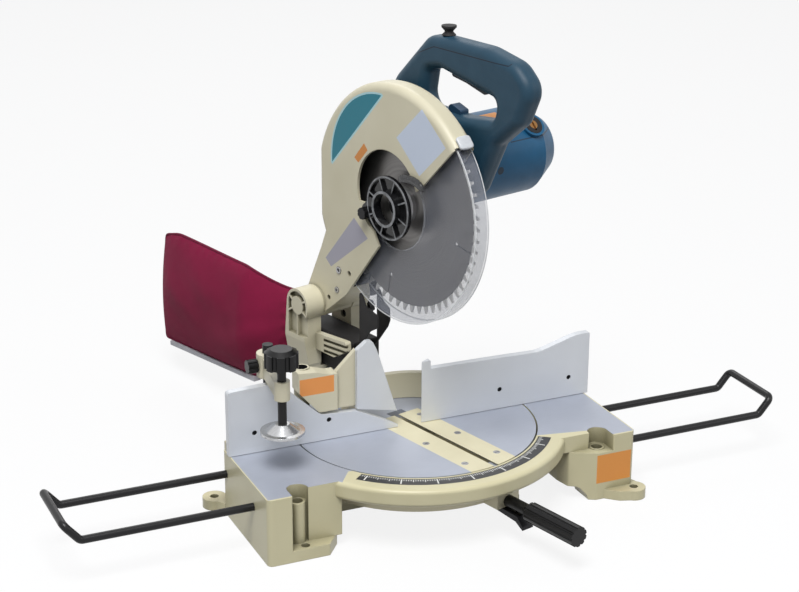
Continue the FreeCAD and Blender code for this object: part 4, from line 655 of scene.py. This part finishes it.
# %% a mesh from a grid of points
def grid_mesh(name, points, uv=None, loop_v=False, caps=False):
    """points[i, j] is row i, column j. Quad (i, j) joins it to its neighbours in i and j."""
    rows, cols = points.shape[:2]
    i, j = np.meshgrid(np.arange(rows - 1), np.arange(cols if loop_v else cols - 1), indexing="ij")
    here, below, after = i * cols, (i + 1) * cols, (j + 1) % cols
    quads = np.stack([here + j, below + j, below + after, here + after], -1)
    faces = quads.reshape(-1, 4).tolist()
    if caps:
        faces += [list(range(cols)), list(range((rows - 1) * cols, rows * cols))[::-1]]
    mesh = bpy.data.meshes.new(name)
    mesh.from_pydata(from_cut(points.reshape(-1, 3)).tolist(), [], faces)
    if uv is not None:
        corner_verts = np.empty(len(mesh.loops), int)
        mesh.loops.foreach_get("vertex_index", corner_verts)
        layer = mesh.uv_layers.new(name="UVMap")
        layer.data.foreach_set("uv", uv.reshape(-1, 2)[corner_verts].ravel())
    mesh.polygons.foreach_set("use_smooth", np.ones(len(mesh.polygons), bool))
    mesh.update()
    piece = bpy.data.objects.new(name, mesh)
    bpy.context.scene.collection.objects.link(piece)
    return piece


def smooth_step(t):
    """3t^2 - 2t^3, held between 0 and 1."""
    t = np.clip(t, 0.0, 1.0)
    return t * t * (3.0 - 2.0 * t)


def signed_power(wave, power):
    """A wave's size raised to a power, with its sign kept: below 1 boxy, above 1 pointed."""
    return np.sign(wave) * np.abs(wave) ** power


# %% [markdown]
# The right fence is a machined plate with a low straight top that sweeps up to a taller end. The
# solid has one straight line there, so this piece is a copy of it with the waste cut off by a
# prism whose lower side follows the real line, after its two corners are raised a little.

# %% right fence's top line
FENCE_TOP = [(20.4, 146.9), (85.0, 146.3), (125.0, 145.6), (160.0, 144.9), (168.0, 146.0),
             (178.7, 149.0), (192.2, 152.8), (206.0, 156.9), (214.0, 158.6), (222.0, 159.3),
             (240.0, 159.3)]
WASTE_FRONT, WASTE_BACK, WASTE_TOP = -10.0, 30.0, 180.0
CORNERS_ABOVE, CORNERS_SPLIT = 0.1485, 0.1
RAISE_IN, RAISE_OUT = 0.0055, 0.0045
MERGE_WITHIN = 0.00001


def fence_waste():
    """Prism over the line: points (x, front, z) and (x, back, z), closed above."""
    line_at = np.array(FENCE_TOP + [(x, WASTE_TOP) for x in (FENCE_TOP[-1][0], FENCE_TOP[0][0])])
    front = np.insert(line_at, 1, WASTE_FRONT, axis=1)
    back = np.insert(line_at, 1, WASTE_BACK, axis=1)
    count = len(line_at)
    sides = [(i, (i + 1) % count, count + (i + 1) % count, count + i) for i in range(count)]
    ends = [tuple(range(count))[::-1], tuple(range(count, 2 * count))]
    mesh = bpy.data.meshes.new("fence_waste")
    mesh.from_pydata((np.concatenate([front, back]) * MM).tolist(), [], sides + ends)
    form = bmesh.new()
    form.from_mesh(mesh)
    bmesh.ops.recalc_face_normals(form, faces=form.faces)
    form.to_mesh(mesh)
    form.free()
    return bpy.data.objects.new("fence_waste", mesh)


def fence_faces():
    """Copy of the fence, merged, with the right plate's two top corners raised, less the waste."""
    mesh = nodes["guide_fence"].data.copy()
    mesh.name = "fence_faces"
    form = bmesh.new()
    form.from_mesh(mesh)
    bmesh.ops.remove_doubles(form, verts=form.verts, dist=MERGE_WITHIN)
    for v in form.verts:
        if v.co.z > CORNERS_ABOVE and v.co.x > 0.0:
            v.co.z += RAISE_OUT if v.co.x > CORNERS_SPLIT else RAISE_IN
    form.to_mesh(mesh)
    form.free()
    piece = bpy.data.objects.new("fence_faces", mesh)
    bpy.context.scene.collection.objects.link(piece)
    waste = fence_waste()
    bpy.context.scene.collection.objects.link(waste)
    cut = piece.modifiers.new("top line", "BOOLEAN")
    cut.object, cut.operation, cut.solver = waste, "DIFFERENCE", "EXACT"
    graph = bpy.context.evaluated_depsgraph_get()
    done = bpy.data.meshes.new_from_object(piece.evaluated_get(graph))
    piece.modifiers.clear()
    piece.data = done
    done.name = "fence_faces"
    bpy.data.objects.remove(waste)
    return piece


fence_piece = fence_faces()
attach(fence_piece, "base")
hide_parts("guide_fence")
fence.dress("fence_faces")
print("fence:", len(fence_piece.data.polygons), "faces")

# %% [markdown]
# The dust bag is a flat cloth bag, sewn along its top, back and bottom, and gathered onto the
# round neck of the duct. It is lofted: each section along its length is a pointed oval between a
# top line and a bottom line, round at the neck. Sag, slanting folds and puckers along the seams
# are added as smooth waves across the cloth.

# %% dust bag
BAG_MOUTH = 213.5
BAG_END = 483.0
NECK_Z = 135.0
NECK_WIDE = 21.0
BAG_MIDDLE = -30.0


def bag_lines(y):
    """Top line, bottom line, half width and middle of the bag at each station y.
    The top rises steeply off the neck, then gently, and falls again near the end."""
    t = (y - BAG_MOUTH) / (BAG_END - BAG_MOUTH)
    rise = 27.0 * smooth_step((y - BAG_MOUTH) / 16.0) + 20.0 * smooth_step((y - 228.0) / 72.0)
    top = NECK_Z + NECK_WIDE + rise
    top = top + 1.4 * smooth_step((y - 300.0) / 140.0) - 8.5 * smooth_step((y - 445.0) / 45.0)
    fall = smooth_step((y - BAG_MOUTH) / 58.0) ** 0.8
    bottom = NECK_Z - NECK_WIDE - 56.0 * fall - 12.0 * np.clip((y - 272.0) / 220.0, 0, 1)
    belly = np.sqrt(np.clip(1.0 - (np.abs(t - 0.38) / 0.625) ** 3.2, 0.0, 1.0))
    wide = NECK_WIDE * (1.0 - smooth_step(t * 5)) + smooth_step(t * 5) * (2.6 + 21.0 * belly)
    return top, bottom, wide, BAG_MIDDLE * smooth_step(t * 3.4)


def bag_points(rows=150, cols=144):
    """Sections round the bag. With a the angle round a section, the height is the cosine of a,
    and the width is the sine of a raised to a power above 1, so that it comes to a point.
    Folds, a drag line off the neck, puckers at the seams and gathers at the mouth are added."""
    v = np.linspace(0.0, 1.0, rows)[:, None]
    a = np.linspace(0.0, 2.0 * np.pi, cols, endpoint=False)[None, :]
    y = BAG_MOUTH + (BAG_END - BAG_MOUTH) * v + 0.0 * a
    top, bottom, wide, middle = bag_lines(y)
    t = (y - BAG_MOUTH) / (BAG_END - BAG_MOUTH)
    flat = smooth_step(t * 6)
    h = np.cos(a)
    side = signed_power(np.sin(a), 1.0 + 0.35 * flat)
    z = (top + bottom) / 2 + (top - bottom) / 2 * h
    y = y + 10.0 * t ** 3 * (0.5 - (z - 46.0) / 156.0) + 4.0 * t ** 4
    calm = np.minimum(np.abs(side) ** 0.7, 1.0) * smooth_step(t * 5) * smooth_step((1.0 - t) * 9)
    slant = np.sin(y * 0.030 + z * 0.052 + 0.8 * np.sin(y * 0.021))
    folds = 1.7 * slant * smooth_step((200 - z) / 80)
    folds = folds + 1.1 * np.sin(y * 0.055 - z * 0.085 + 1.3) * np.sin(z * 0.021 + y * 0.012)
    off_drag = (z - 150.0 + (y - 240.0) * 0.42) / 13.0
    drag = 2.2 * np.exp(-off_drag ** 2) * np.exp(-((y - 250.0) / 70.0) ** 2)
    near_seam = np.exp(-((1.0 - np.abs(h)) / 0.10) ** 2)
    pucker = 0.7 * np.sin(y * 0.33 + 1.5 * np.sin(y * 0.05)) * near_seam * smooth_step(t * 8)
    gather = np.cos(a * 16) * (1.0 - smooth_step(t * 9))
    waves = (folds - drag) * calm + pucker * np.abs(side) ** 0.3
    x = middle + wide * side + np.sign(side + 1e-9) * waves + gather * np.sin(a)
    z = z + gather * np.cos(a)
    uv = np.stack([y * MM, z * MM], -1)
    return np.stack([x, y, z], -1), uv


points, uv = bag_points()
bag = grid_mesh("dust_bag_cloth", points, uv, loop_v=True, caps=True)
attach(bag, "arm")
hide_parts("dust_bag")
print("bag:", points.reshape(-1, 3).min(0).round(1), points.reshape(-1, 3).max(0).round(1))

# %% [markdown]
# The sewn edge is a thin rolled welt that follows the top line, the back and the bottom line. A
# gathered collar with an elastic holds the mouth on the neck.

# %% welt and collar
COLLAR_R, COLLAR_FROM, COLLAR_LONG = 20.6, 201.0, 14.0
CLOTH_THICK = 0.0008


def swept(name, path, radius, sides=10, squash=1.0):
    """Tube along a path: each section is a circle in the plane of the path's two normals.
    The tangent is the gradient of the path, and the first normal is fixed to x."""
    tangent = np.gradient(path, axis=0)
    tangent /= np.linalg.norm(tangent, axis=1, keepdims=True)
    first = np.tile([1.0, 0.0, 0.0], (len(path), 1))
    second = np.cross(tangent, first)
    second /= np.linalg.norm(second, axis=1, keepdims=True)
    a = np.linspace(0, 2 * np.pi, sides, endpoint=False)[None, :, None]
    offset = squash * np.cos(a) * first[:, None, :] + np.sin(a) * second[:, None, :]
    length = np.concatenate([[0], np.cumsum(np.linalg.norm(np.diff(path, axis=0), axis=1))])
    round_it = np.linspace(0, 0.01, sides)[None, :]
    uv = np.stack(np.broadcast_arrays(length[:, None] * MM, round_it), -1)
    return grid_mesh(name, path[:, None, :] + radius * offset, uv, loop_v=True, caps=True)


def welt_path():
    """The seam's own line: out along the top of the sections, down the back and home below."""
    top = points[6:, 0]
    low = points[14:, points.shape[1] // 2][::-1]
    step = np.linspace(0, 1, 40)[1:-1, None]
    back = top[-1] + (low[0] - top[-1]) * step + [0.0, 1.6, 0.0] * np.sin(np.pi * step)
    path = np.concatenate([top, back, low])
    for _ in range(6):
        path[1:-1] = (path[:-2] + 2 * path[1:-1] + path[2:]) / 4
    return path


def collar_points():
    """Band round the neck: it bulges in its middle, with gathers, and the elastic draws it in."""
    u = np.linspace(0, 1, 24)[:, None]
    a = np.linspace(0, 2 * np.pi, 144, endpoint=False)[None, :]
    bulge = np.sin(np.pi * u)
    elastic = 1.1 * np.exp(-((u - 0.5) / 0.12) ** 2)
    girth = COLLAR_R + 1.9 * bulge + 0.45 * np.cos(a * 24) * bulge - elastic
    y = COLLAR_FROM + COLLAR_LONG * u
    at = np.stack(np.broadcast_arrays(girth * np.sin(a), y, NECK_Z + girth * np.cos(a)), -1)
    return at, np.stack(np.broadcast_arrays(u * COLLAR_LONG * MM, a * 0.021), -1)


welt = swept("dust_bag_welt", welt_path(), 1.5, squash=1.5)
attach(welt, "arm")
collar_at, collar_uv = collar_points()
collar = grid_mesh("dust_bag_collar", collar_at, collar_uv, loop_v=True)
thick = collar.modifiers.new("thickness", "SOLIDIFY")
thick.thickness = CLOTH_THICK
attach(collar, "arm")
print("welt and collar made")

# %% [markdown]
# The cloth is a crimson plain weave. Its warp and weft are two sine waves on the UV map: where
# one passes over the other the thread stands up and looks lighter. Faint dust and a broad tone
# keep the large side from looking printed.

# %% bag cloth
def woven(name, colour, dark, thread_mm=1.1):
    f = Finish(name, roughness=0.85, Sheen_Weight=0.05, Sheen_Roughness=0.5, Specular_IOR_Level=0.2)
    uv_at = f.node("ShaderNodeUVMap", {"uv_map": "UVMap"})
    u = f.node("ShaderNodeSeparateXYZ", {}, {0: uv_at})
    v = u.part("Y")
    k = 2.0 * math.pi / (thread_mm * MM)
    warp, weft = (u * k).sine(), (v * k).sine()
    over = warp * weft * 0.5 + 0.5
    cloud = f.noise(60.0, 3.0)
    fluff = f.noise(2.2, 3.0)
    share = (over * 0.30 + cloud * 0.55 + fluff * 0.3 - 0.08).cut()
    f.set(Base_Color=f.mixed(dark, colour, share), Roughness=0.76 + fluff * 0.2)
    f.relief(over * 0.7 + fluff * 0.5, 0.22)
    return f


cloth = woven("bag_cloth", linear(156, 30, 74), linear(106, 18, 48))
cloth.dress("dust_bag_cloth", "dust_bag_collar")
woven("bag_binding", linear(128, 26, 62), linear(90, 16, 42), 1.6).dress("dust_bag_welt")
print("bag cloth done")

# %% [markdown]
# At the front end of the case sits a small pale clip that guides the clear guard. It is a curved
# tab round the rim: an arc about the blade's centre, swept across the case's width, with rounded
# edges.

# %% clip at the case's front end
CLIP_FROM, CLIP_TO = 135.0, 141.5
CLIP_X, CLIP_R, CLIP_LIFT = -5.0, 143.4, 1.5
CLIP_HALF_WIDE, CLIP_HALF_THICK = 9.5, 2.3


def clip_points():
    """Closed section of the tab in radius and width, carried round an arc about the blade.
    The section is a rounded slab, a superellipse with power 4."""
    arc = np.radians(np.linspace(CLIP_FROM, CLIP_TO, 30))[:, None]
    a = np.linspace(0, 2 * np.pi, 48, endpoint=False)[None, :]
    ends = np.sqrt(np.clip(1 - (np.linspace(-1, 1, 30)[:, None]) ** 8, 0.02, 1))
    across = CLIP_X + CLIP_HALF_WIDE * signed_power(np.cos(a), 0.5) * ends
    radius = CLIP_R + CLIP_HALF_THICK * signed_power(np.sin(a), 0.5) * ends
    y = BLADE_AT[0] + radius * np.cos(arc)
    z = BLADE_AT[1] + CLIP_LIFT + radius * np.sin(arc)
    return np.stack([across + 0 * arc, y, z], -1)


clip = grid_mesh("rim_clip", clip_points(), loop_v=True, caps=True)
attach(clip, "head")
clear = Finish("pale_clip", roughness=0.2, IOR=1.49)
clear.set(Base_Color=clear.mixed(linear(226, 228, 230), linear(196, 200, 206), clear.noise(6.0)))
clear.relief(clear.noise(2.0), 0.05)
clear.dress("rim_clip")

# %% the centre cover's short arm
ARM_X, ARM_HALF_THICK, ARM_HALF_HIGH = -23.6, 2.6, 4.6


def arm_points():
    """The cover's short arm: a bar along a curved line in the plane of the blade.
    The line falls from start to end, with part of a sine wave over it, and the bar's outer side
    has a groove."""
    t = np.linspace(0, 1, 40)[:, None]
    y = 2.0 - 43.0 * t
    z = 377.0 + 16.0 * np.sin(np.pi * (0.15 + 0.55 * t)) - 8.0 * t
    a = np.linspace(0, 2 * np.pi, 32, endpoint=False)[None, :]
    ends = np.sqrt(np.clip(1 - (2 * t - 1) ** 10, 0.03, 1))
    out = ARM_HALF_THICK * signed_power(np.cos(a), 0.55) * ends
    up = ARM_HALF_HIGH * signed_power(np.sin(a), 0.55) * ends
    groove = 1.0 - 0.35 * np.exp(-((np.abs(np.sin(a)) - 0.35) / 0.2) ** 2) * (np.cos(a) < 0)
    return np.stack([ARM_X + out * groove, y + 0 * a, z + up], -1)


arm_bar = grid_mesh("cover_arm", arm_points(), loop_v=True, caps=True)
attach(arm_bar, "hub_cover")
smoked = Finish("smoked_arm", roughness=0.15, IOR=1.5)
flecks = smoked.noise(3.0) ** 3.0
smoked.set(Base_Color=smoked.mixed(linear(30, 30, 32), linear(120, 121, 124), flecks))
smoked.relief(smoked.noise(3.0), 0.1)
smoked.dress("cover_arm")
print("clip and cover arm made")

# %% [markdown]
# A plain pale floor and soft light. The background is white to the camera, and to gloss and
# glass, while the light on the object comes from wide lamps and a dim even sky. The floor is grey
# to the light that bounces off it, so that the object isn't lit too strongly from below.

# %% floor, sky and lamps
FLOOR_REACH = 12.0
FLOOR_Z = -0.0004
FLOOR_GLOW = 0.86
SKY_TINT = (0.92, 0.96, 1.0, 1.0)
SKY_STRENGTH = 0.24
WHITE = (1.0, 1.0, 1.0, 1.0)
LAMPS = {"key": ((-0.85, -1.3, 2.95), 1.6, 92.0),
         "fill": ((2.2, -1.6, 1.5), 1.6, 9.0),
         "rim": ((0.6, 2.2, 2.2), 1.4, 11.0)}
LAMPS_AIM = (0, 0, 0.2)


def add_floor():
    signs = ((-1, -1), (1, -1), (1, 1), (-1, 1))
    corners = [(u * FLOOR_REACH, v * FLOOR_REACH, FLOOR_Z) for u, v in signs]
    mesh = bpy.data.meshes.new("floor")
    mesh.from_pydata(corners, [], [(0, 1, 2, 3)])
    floor = bpy.data.objects.new("floor", mesh)
    bpy.context.scene.collection.objects.link(floor)
    ground = Finish("pale_floor", roughness=0.9)
    path = ground.node("ShaderNodeLightPath")
    seen = path.most(path.part("Is Glossy Ray")).most(path.part("Is Transmission Ray"))
    ground.set(Base_Color=ground.mixed(linear(140, 140, 141), linear(247, 247, 249), seen))
    glow = ground.node("ShaderNodeEmission", {}, {"Color": WHITE, "Strength": 1.0})
    lit = Wire(ground, ground.shader.outputs[0])
    blend = ground.node("ShaderNodeMixShader", {}, {0: seen * FLOOR_GLOW, 1: lit, 2: glow})
    out = next(n for n in ground.tree.nodes if n.type == "OUTPUT_MATERIAL")
    ground.tree.links.new(blend.socket, out.inputs[0])
    floor.data.materials.append(ground.material)


def add_sky():
    world = bpy.data.worlds.new("studio")
    bpy.context.scene.world = world
    world.use_nodes = True
    tree = world.node_tree
    tree.nodes.clear()
    path = tree.nodes.new("ShaderNodeLightPath")
    seen = tree.nodes.new("ShaderNodeMath")
    seen.operation = "MAXIMUM"
    more = tree.nodes.new("ShaderNodeMath")
    more.operation = "MAXIMUM"
    tree.links.new(path.outputs["Is Camera Ray"], seen.inputs[0])
    tree.links.new(path.outputs["Is Glossy Ray"], seen.inputs[1])
    tree.links.new(seen.outputs[0], more.inputs[0])
    tree.links.new(path.outputs["Is Transmission Ray"], more.inputs[1])
    dim = tree.nodes.new("ShaderNodeBackground")
    dim.inputs[0].default_value = SKY_TINT
    dim.inputs[1].default_value = SKY_STRENGTH
    white = tree.nodes.new("ShaderNodeBackground")
    white.inputs[0].default_value = WHITE
    white.inputs[1].default_value = 1.0
    mix = tree.nodes.new("ShaderNodeMixShader")
    tree.links.new(more.outputs[0], mix.inputs[0])
    tree.links.new(dim.outputs[0], mix.inputs[1])
    tree.links.new(white.outputs[0], mix.inputs[2])
    out = tree.nodes.new("ShaderNodeOutputWorld")
    tree.links.new(mix.outputs[0], out.inputs[0])


def add_lamp(name, place, size, watts):
    data = bpy.data.lights.new(name, "AREA")
    data.shape = "DISK"
    data.size = size
    data.energy = watts
    lamp = bpy.data.objects.new(name, data)
    bpy.context.scene.collection.objects.link(lamp)
    aim = Vector(LAMPS_AIM) - Vector(place)
    turn = aim.to_track_quat("-Z", "Y").to_matrix().to_4x4()
    lamp.matrix_world = Matrix.Translation(place) @ turn


add_floor()
add_sky()
for lamp_name, lamp_values in LAMPS.items():
    add_lamp(lamp_name, *lamp_values)
bpy.context.scene.view_settings.view_transform = "Standard"
print("lights and floor done")
